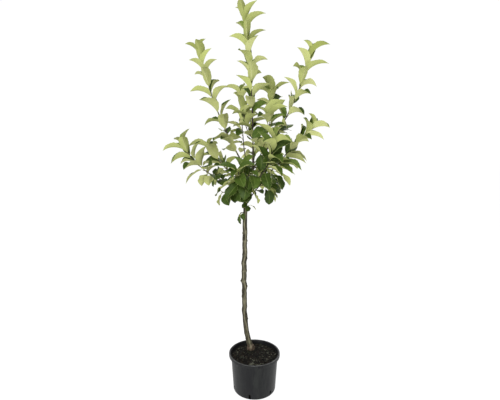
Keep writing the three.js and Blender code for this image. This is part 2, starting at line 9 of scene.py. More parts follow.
# %% Load the frame
import math
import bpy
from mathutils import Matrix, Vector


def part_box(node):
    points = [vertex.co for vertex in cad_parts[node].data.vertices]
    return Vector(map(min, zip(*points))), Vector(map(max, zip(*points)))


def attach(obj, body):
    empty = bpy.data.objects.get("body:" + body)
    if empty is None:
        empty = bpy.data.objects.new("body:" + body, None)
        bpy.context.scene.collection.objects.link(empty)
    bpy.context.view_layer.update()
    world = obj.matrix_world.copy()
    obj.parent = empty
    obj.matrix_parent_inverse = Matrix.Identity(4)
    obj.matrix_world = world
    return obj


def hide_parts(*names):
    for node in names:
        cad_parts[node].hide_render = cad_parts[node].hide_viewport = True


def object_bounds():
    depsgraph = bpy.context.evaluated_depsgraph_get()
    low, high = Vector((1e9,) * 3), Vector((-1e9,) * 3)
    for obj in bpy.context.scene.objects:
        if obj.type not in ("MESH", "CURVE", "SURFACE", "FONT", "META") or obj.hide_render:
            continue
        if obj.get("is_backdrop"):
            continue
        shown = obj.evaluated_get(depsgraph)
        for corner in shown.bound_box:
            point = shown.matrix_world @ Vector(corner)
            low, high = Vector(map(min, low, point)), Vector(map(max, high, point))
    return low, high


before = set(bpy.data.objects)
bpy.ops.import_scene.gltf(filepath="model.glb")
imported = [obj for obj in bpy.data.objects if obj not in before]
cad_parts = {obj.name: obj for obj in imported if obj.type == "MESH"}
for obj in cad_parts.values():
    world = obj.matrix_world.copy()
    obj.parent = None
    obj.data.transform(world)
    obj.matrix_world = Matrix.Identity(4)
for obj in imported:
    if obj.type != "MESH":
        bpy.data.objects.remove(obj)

from types import SimpleNamespace

import bpy
import numpy as np
from mathutils import Vector

MM = 0.001  # the tree's own measures are in millimetres
cad_box = [list(corner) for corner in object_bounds()]
print("nodes:", len(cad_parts), "box:", cad_box)

# %% [markdown]
# ## Camera
#
# A tall thin subject wants a camera at about the height of its head, or the crown
# hides its own top. This one stands under two metres off, a little below the middle of
# the crown, and looks down a little, so the soil shows as a flat ellipse in the rim.

# %% Place the camera
EYE = (-0.0217, -1.8456, 1.255)
LOOKS_DOWN = 9.59  # degrees
LENS = 29.39       # millimetres, as is the sensor's width
SENSOR = 36

bpy.ops.object.camera_add(location=EYE, rotation=(math.radians(90 - LOOKS_DOWN), 0, 0))
camera = bpy.context.object
camera.data.lens = LENS
camera.data.sensor_width = SENSOR
bpy.context.scene.camera = camera
print("camera at", EYE)

# %% [markdown]
# ## Nodes in few lines
#
# The floor, the sky and every finish are webs of nodes. Written out, each node takes a
# line of its own and one more for every input. These helpers make a node and feed its
# inputs: with a link where they are given a socket, and with a plain value otherwise.

# %% Helpers for nodes


def feed(tree, node, inputs):
    """Gives each input its value, or a link where it is given a socket."""
    for label, source in inputs.items():
        if isinstance(source, bpy.types.NodeSocket):
            tree.links.new(source, node.inputs[label])
        else:
            node.inputs[label].default_value = source


def wired(tree, kind, inputs, **settings):
    """A new node with its settings and its inputs."""
    node = tree.nodes.new("ShaderNode" + kind)
    for key, value in settings.items():
        setattr(node, key, value)
    feed(tree, node, inputs)
    return node


def new_material(name):
    """A material, its node tree and its shader."""
    material = bpy.data.materials.new(name)
    material.use_nodes = True
    return material, material.node_tree, material.node_tree.nodes["Principled BSDF"]


print("helpers for nodes ready")

# %% [markdown]
# ## Floor and light
#
# Plants are shown on white because thin leaves lose their edges against anything else.
# A floor and a white world could be one curved backdrop, but a wide flat floor that is
# just white all over melts into the sky as well. It must not be much brighter than
# white, because a glaring background drowns the edges of a thin stem. So the floor is
# grey and glows by itself, which is even, and lights the undersides of the leaves. A
# broad lamp in front gives the trunk its pale middle and darker sides, helped by a
# strip of painted light up the front of the bark.

# %% Floor, world and lamps
FLOOR_SIZE = 30
FLOOR_GLOW = 0.93   # near white by itself
WORLD_SEEN = 1.02   # what the camera sees behind the plant
WORLD_LIGHT = 0.44  # what lights it
WHITE = (1, 1, 1, 1)
# Each has its name, its place, the height it looks at on the tree's axis, size and watts.
LAMPS = [
    ("front_lamp", (-0.9, -3.0, 2.7), 1.0, 1.6, 98),
    ("right_lamp", (2.4, -1.6, 1.6), 0.9, 1.4, 5),
    ("back_lamp", (0.6, 2.8, 2.4), 1.0, 2.0, 42),
]

bpy.context.scene.view_settings.view_transform = "Standard"

bpy.ops.mesh.primitive_plane_add(size=FLOOR_SIZE)
floor = bpy.context.object
floor.name = "studio_floor"
floor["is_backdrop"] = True
floor_paint, tree, shader = new_material("floor_paint")
feed(tree, shader, {"Base Color": (0.2, 0.2, 0.2, 1), "Roughness": 0.9, "Specular IOR Level": 0,
                    "Emission Color": WHITE, "Emission Strength": FLOOR_GLOW})
floor.data.materials.append(floor_paint)

for name, place, target, size, watts in LAMPS:
    bpy.ops.object.light_add(type="AREA", location=place)
    light = bpy.context.object
    light.name = name
    light.data.size = size
    light.data.energy = watts
    way = Vector((0, 0, target)) - Vector(place)
    light.rotation_euler = way.to_track_quat("-Z", "Y").to_euler()

world = bpy.data.worlds.new("white_room")
world.use_nodes = True
bpy.context.scene.world = world
sky = world.node_tree
seen = wired(sky, "LightPath", {}).outputs["Is Camera Ray"]
strength = wired(sky, "Mix", {"Factor": seen, "A": WORLD_LIGHT, "B": WORLD_SEEN})
feed(sky, sky.nodes["Background"], {"Color": WHITE, "Strength": strength.outputs["Result"]})
print("lamps:", [lamp[0] for lamp in LAMPS])

# %% [markdown]
# ## Shared effects
#
# Soil, bark, plastic and leaves are all blotchy, each at its own scale, and all have a
# fine grain. Rather than draw the same nodes in every material, each effect is a node
# group: `blotches` lays patches of one colour over another, `specks` scatters small
# dots, such as the breathing pores of young bark, and `grain` tilts the surface. All
# of them read Object coordinates, so a pattern keeps its size in metres.

# %% Helpers for node groups
COLOUR, NUMBER, VECTOR = "NodeSocketColor", "NodeSocketFloat", "NodeSocketVector"
MIX_UNDER, MIX_OVER, MIX_RESULT = 6, 7, 2  # the Mix node's sockets for colours
GREY = (0.5, 0.5, 0.5, 1)
EVEN = (1, 1, 1)


def new_group(name, inputs, outputs):
    """An empty node group, the sockets that it is given, and its end node."""
    tree = bpy.data.node_groups.new(name, "ShaderNodeTree")
    for label, kind, value in inputs:
        tree.interface.new_socket(label, in_out="INPUT", socket_type=kind).default_value = value
    for label, kind in outputs:
        tree.interface.new_socket(label, in_out="OUTPUT", socket_type=kind)
    return tree, tree.nodes.new("NodeGroupInput").outputs, tree.nodes.new("NodeGroupOutput")


def texture(tree, kind, given, **inputs):
    """A texture at the group's Scale, in Object coordinates times its Stretch."""
    place = wired(tree, "TexCoord", {}).outputs["Object"]
    stretched = wired(tree, "VectorMath", {0: place, 1: given["Stretch"]}, operation="MULTIPLY")
    return wired(tree, kind, {"Vector": stretched.outputs["Vector"], "Scale": given["Scale"], **inputs})


def soft_step(tree, value, low, high):
    """A mask that rises from 0 at low to 1 at high."""
    inputs = {"Value": value, "From Min": low, "From Max": high}
    return wired(tree, "MapRange", inputs, interpolation_type="SMOOTHSTEP").outputs["Result"]


def laid_over(tree, mask, ground, patch):
    """One colour over another, through a mask."""
    inputs = {"Factor": mask, MIX_UNDER: ground, MIX_OVER: patch}
    return wired(tree, "Mix", inputs, data_type="RGBA").outputs[MIX_RESULT]


print("sockets can be", COLOUR, NUMBER, VECTOR)

# %% Blotches, specks and grain
blotches, given, end = new_group(
    "blotches",
    [("Ground", COLOUR, GREY), ("Patch", COLOUR, GREY), ("Scale", NUMBER, 40),
     ("Stretch", VECTOR, EVEN), ("From", NUMBER, 0.45), ("To", NUMBER, 0.6)],
    [("Color", COLOUR), ("Mask", NUMBER)],
)
cloud = texture(blotches, "TexNoise", given, Detail=5, Roughness=0.62)
mask = soft_step(blotches, cloud.outputs["Fac"], given["From"], given["To"])
blend = laid_over(blotches, mask, given["Ground"], given["Patch"])
feed(blotches, end, {"Color": blend, "Mask": mask})

specks, given, end = new_group(
    "specks",
    [("Ground", COLOUR, GREY), ("Dot", COLOUR, GREY), ("Scale", NUMBER, 300),
     ("Stretch", VECTOR, EVEN), ("Size", NUMBER, 0.25), ("Edge", NUMBER, 0.1)],
    [("Color", COLOUR), ("Mask", NUMBER)],
)
cells = texture(specks, "TexVoronoi", given)
rim = wired(specks, "Math", {0: given["Size"], 1: given["Edge"]}, operation="ADD")
mask = soft_step(specks, cells.outputs["Distance"], rim.outputs["Value"], given["Size"])
blend = laid_over(specks, mask, given["Ground"], given["Dot"])
feed(specks, end, {"Color": blend, "Mask": mask})

grain, given, end = new_group(
    "grain",
    [("Scale", NUMBER, 600), ("Stretch", VECTOR, EVEN), ("Depth", NUMBER, 0.0002)],
    [("Normal", VECTOR)],
)
ripple = texture(grain, "TexNoise", given, Detail=4)
tilt = wired(grain, "Bump", {"Height": ripple.outputs["Fac"], "Distance": given["Depth"]})
feed(grain, end, {"Normal": tilt.outputs["Normal"]})
print("node groups:", [group.name for group in bpy.data.node_groups])

# %% [markdown]
# ## A way to write finishes
#
# A finish here is a base colour, layers of blotches or specks over it, a range of
# roughness that follows the last layer, and a grain. Writing that once keeps every
# finish to a few lines. What is the same all over a surface is set on the shader's own
# socket. Colours are given as they look on a screen, from 0 to 255, and turned into
# the linear light that the shader wants.

# %% Colours and finishes


def screen(*tint):
    """A screen colour as linear light."""
    shares = [value / 255 for value in tint]
    light = [share / 12.92 if share <= 0.04045 else ((share + 0.055) / 1.055) ** 2.4 for share in shares]
    return (*light, 1)


def toned(tint, *factors, more=0):
    """A tint with its red, green and blue multiplied, by one factor or by three."""
    return [min(255, value * factor + more) for value, factor in zip(tint, factors * 3)]


def patches(tint, scale, low, high, stretch=EVEN):
    """A layer of blotches, whose edges run from a low to a high value of the noise."""
    return blotches, {"Patch": screen(*tint), "Scale": scale, "From": low, "To": high, "Stretch": stretch}


def dots(tint, scale, size, edge, stretch=EVEN):
    """A layer of specks with soft edges."""
    return specks, {"Dot": screen(*tint), "Scale": scale, "Size": size, "Edge": edge, "Stretch": stretch}


def finish(name, ground, layers, rough, grain_of=None, shine=0.5):
    """A material of a ground colour and layers, rough by the last layer's mask.

    Its grain, if any, is given by scale and depth, and by stretch if it is stretched.
    """
    material, tree, shader = new_material(name)
    colour = screen(*ground)
    feed(tree, shader, {"Base Color": colour, "Roughness": rough[0], "Specular IOR Level": shine})
    for group, values in layers:
        layer = wired(tree, "Group", {"Ground": colour}, node_tree=group)
        feed(tree, layer, values)
        colour = layer.outputs["Color"]
    roughness = {"Value": layer.outputs["Mask"], "To Min": rough[0], "To Max": rough[1]}
    spread = wired(tree, "MapRange", roughness)
    feed(tree, shader, {"Base Color": colour, "Roughness": spread.outputs["Result"]})
    if grain_of:
        relief = wired(tree, "Group", {}, node_tree=grain)
        feed(tree, relief, dict(zip(("Scale", "Depth", "Stretch"), grain_of)))
        feed(tree, shader, {"Normal": relief.outputs["Normal"]})
    return material


def masked(material, piece, attribute, mask, tint):
    """Lays a tint over a finish as strongly as the mask, kept for each vertex, says."""
    piece.data.attributes.new(attribute, "FLOAT", "POINT").data.foreach_set("value", mask)
    tree = material.node_tree
    shader = tree.nodes["Principled BSDF"]
    strength = wired(tree, "Attribute", {}, attribute_name=attribute).outputs["Fac"]
    under = shader.inputs["Base Color"].links[0].from_socket
    feed(tree, shader, {"Base Color": laid_over(tree, strength, under, screen(*tint))})


print("white on a screen is", screen(255, 255, 255))

# %% [markdown]
# ## Working by hand, in code
#
# An operator acts on whatever is selected, and loading the frame leaves its nodes
# selected. So each job starts by clearing the selection and taking one piece. These
# helpers do that, add primitives by name and close up what is open.

# %% Helpers for operators
DOUBLES = 1e-6  # metres; corners nearer than this are one


def put_down():
    """Back in object mode with nothing selected."""
    if bpy.context.mode != "OBJECT":
        bpy.ops.object.mode_set(mode="OBJECT")
    bpy.ops.object.select_all(action="DESELECT")


def take(piece):
    """Only this piece is selected, and it is the active one."""
    put_down()
    piece.select_set(True)
    bpy.context.view_layer.objects.active = piece


def opened(piece):
    """The piece in edit mode, with all of its mesh selected."""
    take(piece)
    bpy.ops.object.mode_set(mode="EDIT")
    bpy.ops.mesh.select_all(action="SELECT")
    return piece


def named(name):
    """The active piece, with its name."""
    piece = bpy.context.object
    piece.name = name
    piece.data.name = name
    return piece


def added(primitive, name, scale=(1, 1, 1), place=(0, 0, 0), turn=(0, 0, 0), **settings):
    """A new primitive, with its scale, place and turn put into its mesh."""
    put_down()
    primitive(**settings)
    piece = named(name)
    piece.scale, piece.location, piece.rotation_euler = scale, place, turn
    bpy.ops.object.transform_apply(location=True, rotation=True, scale=True)
    return piece


def closed_up(piece):
    """Merges doubles, fills what is open and turns the faces outwards."""
    opened(piece)
    bpy.ops.mesh.remove_doubles(threshold=DOUBLES)
    bpy.ops.mesh.fill_holes(sides=0)
    bpy.ops.mesh.select_all(action="SELECT")
    bpy.ops.mesh.normals_make_consistent(inside=False)
    put_down()
    return piece


def report(piece):
    """Prints a piece's size in triangles and metres."""
    piece.data.calc_loop_triangles()
    size = [round(side, 4) for side in piece.dimensions]
    print(f"{piece.name}: {len(piece.data.loop_triangles)} triangles, {size} m")


put_down()
print("helpers for operators ready")

# %% [markdown]
# ## The pot
#
# A nursery pot is one thin moulded wall: a flat foot with a rounded heel, sides that
# widen a little, and a flat rim whose edge turns down to stiffen it. It could be a
# cylinder with tapered sides and a Solidify modifier, but the rim and the heel want
# their own profile. So it is turned: a circle is extruded and resized ring by ring
# along the profile, under the floor, up the outside, over the rim and down the inside.

# %% Turn the pot
POT_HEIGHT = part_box("pot")[1].z / MM
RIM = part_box("pot")[1].x / MM
FOOT = 103.2
HEEL = 9            # rounding between foot and side
WALL = 2.4
SHOULDER = (113.7, 179)  # the side's radius and height where it starts to flare
THROAT = 114.5      # the opening's radius inside the flat rim
LIP = 13.4          # how far the rim's edge turns down
LIP_ROUNDING = 1.2
BEAD = 4.4          # the rim's top is raised this far in from its edge
BEAD_RISE = 0.6
BEAD_EDGE = RIM - BEAD - BEAD_RISE
POT_SIDES = 128
SOLE = (88, 0.8)    # radius and depth of the recess in the underside
CENTRE = 6          # radius of the innermost ring, which is filled
SOLE_RING = 40      # and of the next


def mixed(first, last, share):
    """A value between two others."""
    return first + (last - first) * share


def heel_arc(radius, count):
    """A quarter circle from the underside to the side, as radius and height."""
    angles = [math.radians(-90 + 90 * i / count) for i in range(count + 1)]
    return [(FOOT - HEEL + radius * math.cos(angle), HEEL + radius * math.sin(angle)) for angle in angles]


def side_line(count):
    """The outer side from heel to shoulder, in even steps."""
    shares = [i / count for i in range(1, count + 1)]
    return [(mixed(FOOT, SHOULDER[0], share), mixed(HEEL, SHOULDER[1], share)) for share in shares]


def turned(name, profile, sides):
    """A piece turned round the Z axis, ring by ring, from a profile in millimetres."""
    radius, height = profile[0]
    piece = added(bpy.ops.mesh.primitive_circle_add, name, place=(0, 0, height * MM),
                  vertices=sides, radius=radius * MM)
    opened(piece)
    for next_radius, next_height in profile[1:]:
        bpy.ops.mesh.extrude_region_move()
        grow = next_radius / radius
        bpy.ops.transform.resize(value=(grow, grow, 1), center_override=(0, 0, height * MM))
        bpy.ops.transform.translate(value=(0, 0, (next_height - height) * MM))
        radius, height = next_radius, next_height
    return closed_up(piece)


pot_profile = [
    (CENTRE, SOLE[1]),
    (SOLE_RING, SOLE[1]),
    SOLE,
    (SOLE[0] + 1, 0),
    *heel_arc(HEEL, 6),
    *side_line(8),
    (THROAT + WALL, POT_HEIGHT - WALL),
    (RIM - WALL, POT_HEIGHT - WALL),
    (RIM - WALL, POT_HEIGHT - LIP),
    (RIM, POT_HEIGHT - LIP),
    (RIM, POT_HEIGHT - LIP_ROUNDING),
    (RIM - LIP_ROUNDING, POT_HEIGHT),
    (RIM - BEAD, POT_HEIGHT),
    (BEAD_EDGE, POT_HEIGHT - BEAD_RISE),
    (THROAT + LIP_ROUNDING, POT_HEIGHT - BEAD_RISE),
    (THROAT, POT_HEIGHT - LIP_ROUNDING - BEAD_RISE),
    (SHOULDER[0] - WALL, SHOULDER[1] + LIP_ROUNDING),
    *reversed(heel_arc(HEEL - WALL, 4)),
    (CENTRE, WALL),
]
pot = turned("nursery_pot", pot_profile, POT_SIDES)
report(pot)

# %% [markdown]
# Water leaves a nursery pot by slots through its heel, just above the ground. Each slot
# is a block with rounded corners, taken away by a Boolean modifier. One cutter with all
# six blocks is quicker than six cuts.

# %% Joining, modifiers and shading


def as_one(name, pieces):
    """Several pieces joined into the first."""
    take(pieces[0])
    for piece in pieces:
        piece.select_set(True)
    bpy.ops.object.join()
    return named(name)


def modified(piece, kind, **settings):
    """Sets a modifier and applies it."""
    take(piece)
    bpy.ops.object.modifier_add(type=kind)
    modifier = piece.modifiers[-1]
    for key, value in settings.items():
        setattr(modifier, key, value)
    bpy.ops.object.modifier_apply(modifier=modifier.name)


def smoothed(piece, crease=None):
    """Smooth shading, with edges sharper than the crease, in degrees, left sharp."""
    take(piece)
    if crease:
        bpy.ops.object.shade_smooth_by_angle(angle=math.radians(crease))
    else:
        bpy.ops.object.shade_smooth()


print("helpers for modifiers ready")

# %% Cut the drainage slots
SLOTS = 6
SLOT = (18, 10, 26)      # depth, width and height
SLOT_FOOT = 3.4
SLOT_ROUNDING = 1.6
FIRST_SLOT = -103        # degrees round from the right-hand side
EDGE_ROUNDING = 0.35
ROUNDED_EDGE = 50        # degrees; sharper edges than this are rounded
POT_CREASE = 38

blocks = []
for i in range(SLOTS):
    azimuth = math.radians(FIRST_SLOT + 360 * i / SLOTS)
    reach = (FOOT - SLOT[0] / 2 + WALL) * MM
    place = (reach * math.cos(azimuth), reach * math.sin(azimuth), (SLOT_FOOT + SLOT[2] / 2) * MM)
    block = added(bpy.ops.mesh.primitive_cube_add, f"slot_{i}", scale=[side * MM for side in SLOT],
                  place=place, turn=(0, 0, azimuth), size=1)
    modified(block, "BEVEL", width=SLOT_ROUNDING * MM, segments=3)
    blocks.append(block)
cutter = as_one("slot_cutter", blocks)
modified(pot, "BOOLEAN", operation="DIFFERENCE", object=cutter, solver="EXACT")
bpy.data.objects.remove(cutter)
modified(pot, "BEVEL", width=EDGE_ROUNDING * MM, segments=2, limit_method="ANGLE",
         angle_limit=math.radians(ROUNDED_EDGE))
smoothed(pot, POT_CREASE)
report(pot)

# %% [markdown]
# The plastic is recycled, so it is a soft black that greys where it is scuffed, and
# the mould leaves it faintly streaked up and down. Dust from the soil sits in pale
# specks. A finish of one black would look like a hole in the picture. The flat rim
# inside the bead and the inner wall above the soil are painted darker, as painted
# shade in the mouth of the pot, and the raised bead is a paler grey, as a painted
# highlight.

# %% Where a piece belongs


def belongs(piece, slot_name, *nodes):
    """The piece rides on the tree's body and stands for these nodes of the frame."""
    put_down()
    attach(piece, "root")
    if nodes:
        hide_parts(*nodes)
    report(piece)


print("bodies that pieces can ride on: root")

# %% Black plastic
INNER_RIM_SHADE, RIM_HIGHLIGHT = 1, 2  # places in the list below; all else is plastic
pot_finishes = [
    finish("pot_plastic", (27, 28, 30),
           [patches((40, 42, 41), 22, 0.42, 0.66, (1, 1, 0.2)),
            patches((17, 17, 20), 46, 0.5, 0.7, (1, 1, 0.1)),
            dots((62, 62, 55), 150, 0.02, 0.07),
            patches((44, 44, 41), 130, 0.66, 0.78, (0.5, 0.5, 2.2))],
           rough=(0.4, 0.6), grain_of=(900, 0.00006), shine=0.16),
    # Painted shade: the flat rim inside the bead and the inner wall above the soil.
    finish("inner_rim_painted_shade", (19, 19, 20), [patches((28, 28, 28), 70, 0.5, 0.7)],
           rough=(0.45, 0.6), shine=0.12),
    # Painted highlight: the bead's top and its outer rounding.
    finish("rim_painted_highlight", (60, 61, 61), [patches((40, 40, 41), 60, 0.45, 0.65)],
           rough=(0.4, 0.55), shine=0.3),
]
for material in pot_finishes:
    pot.data.materials.append(material)
for face in pot.data.polygons:
    centre = face.center / MM
    away = math.hypot(centre.x, centre.y)
    # The bead's top takes the painted highlight, the mouth of the pot the painted shade.
    if centre.z > POT_HEIGHT - LIP_ROUNDING and away > BEAD_EDGE:
        face.material_index = RIM_HIGHLIGHT
    elif centre.z > SHOULDER[1] and away < RIM - WALL:
        face.material_index = INNER_RIM_SHADE
belongs(pot, "pot", "pot")

# %% [markdown]
# ## The soil
#
# Potting soil fills the pot to a finger below the rim. It is level where the trunk
# stands and lumpy away from it. A plain disc could carry a bump map, but the soil is
# seen edge-on at the rim, so its lumps are real: a turned body whose top is a fine
# net of rings, raised by the same waves as the packed soil and roughened by noise.

# %% Vertices as arrays


def corners(piece, unit=1):
    """The piece's vertices as an array of places, in this unit."""
    flat = np.empty(len(piece.data.vertices) * 3)
    piece.data.vertices.foreach_get("co", flat)
    return flat.reshape(-1, 3) / unit


def move_corners(piece, places, unit=1):
    """Moves the piece's vertices to these places, in this unit."""
    piece.data.vertices.foreach_set("co", (np.asarray(places, float) * unit).ravel())
    piece.data.update()


def roughened(piece, name, steps, **settings):
    """Displaces the surface by clouds of each (size, depth) in millimetres."""
    for size, depth in steps:
        clouds = bpy.data.textures.new(f"{name}_{size}", "CLOUDS")
        clouds.noise_scale = size * MM
        modified(piece, "DISPLACE", texture=clouds, texture_coords="LOCAL", strength=depth * MM,
                 mid_level=0.5, **settings)


print("the pot has", len(corners(pot)), "vertices")

# %% The bed of soil
SOIL_LEVEL = 173.7
SOIL_CLEARANCE = 0.8
BALL_FOOT = 88      # the root ball narrows to this radius at its foot
BALL_SHOULDER = 30
LUMP_RISE = 1.7
BROAD_LUMPS = (17, 13)
FINE_LUMPS = (7.3, 9.1)
STUMP_CENTRE = (-16.5, 56)
FLAT_RADIUS = 34
EASE_RADIUS = 60
SOIL_RINGS = 44
SOIL_SIDES = 120


def inner_radius(height):
    """The pot's inner radius at a height."""
    return mixed(FOOT, SHOULDER[0], (height - HEEL) / (SHOULDER[1] - HEEL)) - WALL


def soil_height(x, y):
    """The soil's height in millimetres at a place."""
    away = np.hypot(x - STUMP_CENTRE[0], y - STUMP_CENTRE[1])
    t = np.clip((away - FLAT_RADIUS) / (EASE_RADIUS - FLAT_RADIUS), 0, 1)
    ease = t * t * (3 - 2 * t)
    broad = np.sin(x / BROAD_LUMPS[0] + 1) * np.cos(y / BROAD_LUMPS[1])
    fine = np.sin(x / FINE_LUMPS[0]) * np.sin(y / FINE_LUMPS[1] + 2)
    return SOIL_LEVEL + ease * LUMP_RISE * (broad + fine)


soil_edge = inner_radius(SOIL_LEVEL) - SOIL_CLEARANCE
bed_profile = [
    (CENTRE, WALL + SOIL_CLEARANCE),
    (BALL_FOOT, WALL + SOIL_CLEARANCE),
    (inner_radius(BALL_SHOULDER) - SOIL_CLEARANCE, BALL_SHOULDER),
    *((soil_edge * (1 - i / SOIL_RINGS), SOIL_LEVEL) for i in range(SOIL_RINGS)),
]
bed = turned("potting_soil", bed_profile, SOIL_SIDES)

places = corners(bed, MM)
top = places[:, 2] > SOIL_LEVEL - 1
places[top, 2] = soil_height(places[top, 0], places[top, 1])
move_corners(bed, places, MM)
bed.vertex_groups.new(name="top").add([int(i) for i in np.flatnonzero(top)], 1, "REPLACE")
roughened(bed, "crumbs", [(14, 2.2), (5, 1.6)], direction="Z", vertex_group="top")
bed.vertex_groups.clear()
smoothed(bed)
report(bed)

# %% [markdown]
# The mix is dark and damp, browner where peat dries and with a green bloom of algae
# here and there. Loose bits lie on top: flakes of bark, round crumbs and short bits of
# root. Each kind is shaped once, from a cube, a ball and a rod, and then scattered as
# one joined mesh, because hundreds of objects would be slow and would not export.

# %% Finishes for the soil
CRUMB_TINTS = {
    "crumb_black": (16, 15, 12),
    "crumb_brown": (38, 30, 22),
    "crumb_grey": (51, 51, 42),
    "crumb_green": (46, 50, 32),
    "crumb_pale": (84, 84, 72),
}
bed.data.materials.append(finish(
    "damp_peat", (20, 18, 14),
    [patches((34, 26, 21), 45, 0.48, 0.68), patches((12, 11, 11), 150, 0.48, 0.62),
     dots((52, 52, 46), 210, 0.03, 0.1)],
    rough=(0.95, 0.8), grain_of=(500, 0.001), shine=0.15,
))
belongs(bed, "soil", "soil")
crumb_finishes = [
    finish(name, tint, [patches(toned(tint, 0.7), 260, 0.4, 0.65)],
           rough=(0.8, 0.95), grain_of=(900, 0.0003), shine=0.2)
    for name, tint in CRUMB_TINTS.items()
]
print("crumb tints:", len(crumb_finishes))

# %% Patterns for loose bits
UNEVEN = 0.09       # this and the next two are shares of a bit's length
ROOTLET_BENDS = (0.09, 0.05)
ROOTLET_CUTS = (-0.25, 0, 0.25)


class Pattern:
    """A small shape kept as arrays, to be copied many times into one mesh."""

    def __init__(self, piece, kinds=None):
        put_down()
        self.places = corners(piece)
        self.faces = [tuple(face.vertices) for face in piece.data.polygons]
        self.kinds = np.zeros(len(self.faces), int) if kinds is None else kinds
        bpy.data.objects.remove(piece)


def flake():
    """An angular flake of bark, one unit long."""
    piece = opened(added(bpy.ops.mesh.primitive_cube_add, "flake", scale=(1, 0.55, 0.16), size=1))
    bpy.ops.mesh.subdivide(number_cuts=1)
    bpy.ops.transform.vertex_random(offset=UNEVEN, seed=4)
    return Pattern(piece)


def lump():
    """A rounded crumb, one unit across."""
    piece = opened(added(bpy.ops.mesh.primitive_ico_sphere_add, "lump", subdivisions=2, radius=0.5))
    bpy.ops.transform.vertex_random(offset=UNEVEN, seed=7)
    bpy.ops.transform.resize(value=(1, 0.8, 0.7))
    return Pattern(piece)


def rootlet():
    """A short crooked bit of root, one unit long."""
    piece = opened(added(bpy.ops.mesh.primitive_cylinder_add, "rootlet", turn=(0, math.pi / 2, 0),
                         vertices=5, radius=0.05, depth=1))
    for cut in ROOTLET_CUTS:
        bpy.ops.mesh.select_all(action="SELECT")
        bpy.ops.mesh.bisect(plane_co=(cut, 0, 0), plane_no=(1, 0, 0))
    put_down()
    places = corners(piece)
    places[:, 1] += ROOTLET_BENDS[0] * np.sin(5 * places[:, 0] + 1)
    places[:, 2] += ROOTLET_BENDS[1] * np.cos(7 * places[:, 0])
    move_corners(piece, places)
    return Pattern(piece)


bits = [flake(), lump(), rootlet()]
print("faces in each bit:", [len(bit.faces) for bit in bits])

# %% [markdown]
# A joined mesh is built from three arrays: all places, all faces with their numbers
# moved on by the places before them, and a finish for each face.

# %% Join many copies into one mesh


def joined_mesh(name, copies, finishes):
    """One piece from (pattern, its places in metres, a finish number for each kind of face)."""
    places, faces, indices = [], [], []
    count = 0
    for pattern, copy_places, numbers in copies:
        places.append(copy_places)
        faces.extend(tuple(corner + count for corner in face) for face in pattern.faces)
        indices.append(np.asarray(numbers)[pattern.kinds])
        count += len(copy_places)
    mesh = bpy.data.meshes.new(name)
    mesh.from_pydata(np.concatenate(places).tolist(), [], faces)
    for material in finishes:
        mesh.materials.append(material)
    mesh.polygons.foreach_set("material_index", np.concatenate(indices).astype(np.int32))
    mesh.update()
    piece = bpy.data.objects.new(name, mesh)
    bpy.context.scene.collection.objects.link(piece)
    return piece


def turn_about(axis, angle):
    """A rotation matrix about one of the axes 0, 1 and 2."""
    c, s = math.cos(angle), math.sin(angle)
    matrix = np.eye(3)
    i, j = [k for k in range(3) if k != axis]
    matrix[i, i], matrix[i, j], matrix[j, i], matrix[j, j] = c, -s, s, c
    return matrix


print("a quarter turn about Z:", turn_about(2, math.pi / 2).round().tolist())

# %% [markdown]
# Most bits are dealt out at random over the bed, and one in 25 of them is pale. Some
# more are set one by one, because a few pale crumbs and rootlets catch the eye.

# %% Scatter the loose bits
LOOSE_BITS = 950
BITS_CLEAR_OF_TRUNK = 19
BITS_CLEAR_OF_POT = 4
FLAKE, LUMP, ROOTLET = range(3)
KIND_CHANCES = (0.42, 0.48, 0.1)
KIND_LENGTHS = ((4, 13), (2, 6), (7, 16))
TINT_CHANCES = (0.46, 0.26, 0.16, 0.08, 0.04)
PALE = 4                # the last of the tints
ROLL, PITCH = 0.5, 0.4  # radians either way
LOOSE_LIFT = 0.8
SETTLED_LIFT = 1.6
# Pale bits that catch the eye: kind, place, length and heading in degrees.
SETTLED = [
    (LUMP, -19, -38, 9, 20), (LUMP, -10, -45, 8, 70), (FLAKE, -4, -52, 12, 40), (LUMP, 10, -50, 6, 0),
    (FLAKE, -14, -86, 24, 38), (ROOTLET, 2, -88, 26, -50), (FLAKE, 16, -92, 15, -20),
    (ROOTLET, 30, -86, 30, 25), (LUMP, -78, 52, 10, 0), (LUMP, -66, 60, 7, 50),
    (FLAKE, -84, 22, 14, 80), (FLAKE, 72, -20, 11, 10), (LUMP, 84, 4, 7, 0), (FLAKE, 54, 40, 12, -30),
    (LUMP, 40, 76, 8, 0), (ROOTLET, -60, -30, 22, 30),
]


def laid(kind, x, y, length, turn, lift, tint):
    """A bit of one kind, turned and laid on the soil."""
    place = np.array([x, y, soil_height(x, y) + lift])
    return bits[kind], (bits[kind].places @ turn.T * length + place) * MM, [tint]


dealt = np.random.default_rng(11)
copies = []
while len(copies) < LOOSE_BITS:
    radius = (soil_edge - BITS_CLEAR_OF_POT) * math.sqrt(dealt.random())
    angle = dealt.random() * 2 * math.pi
    x, y = radius * math.cos(angle), radius * math.sin(angle)
    kind = int(dealt.choice(len(bits), p=KIND_CHANCES))
    length = dealt.uniform(*KIND_LENGTHS[kind])
    tint = int(dealt.choice(len(crumb_finishes), p=TINT_CHANCES))
    turn = turn_about(2, dealt.random() * 7)
    turn = turn @ turn_about(0, dealt.uniform(-ROLL, ROLL))
    turn = turn @ turn_about(1, dealt.uniform(-PITCH, PITCH))
    from_trunk = math.hypot(x - STUMP_CENTRE[0], y - STUMP_CENTRE[1]) - length / 2
    if from_trunk >= BITS_CLEAR_OF_TRUNK and radius + length / 2 <= soil_edge - 1:
        copies.append(laid(kind, x, y, length, turn, LOOSE_LIFT, tint))
for kind, x, y, length, heading in SETTLED:
    turn = turn_about(2, math.radians(heading))
    copies.append(laid(kind, x, y, length, turn, SETTLED_LIFT, PALE))
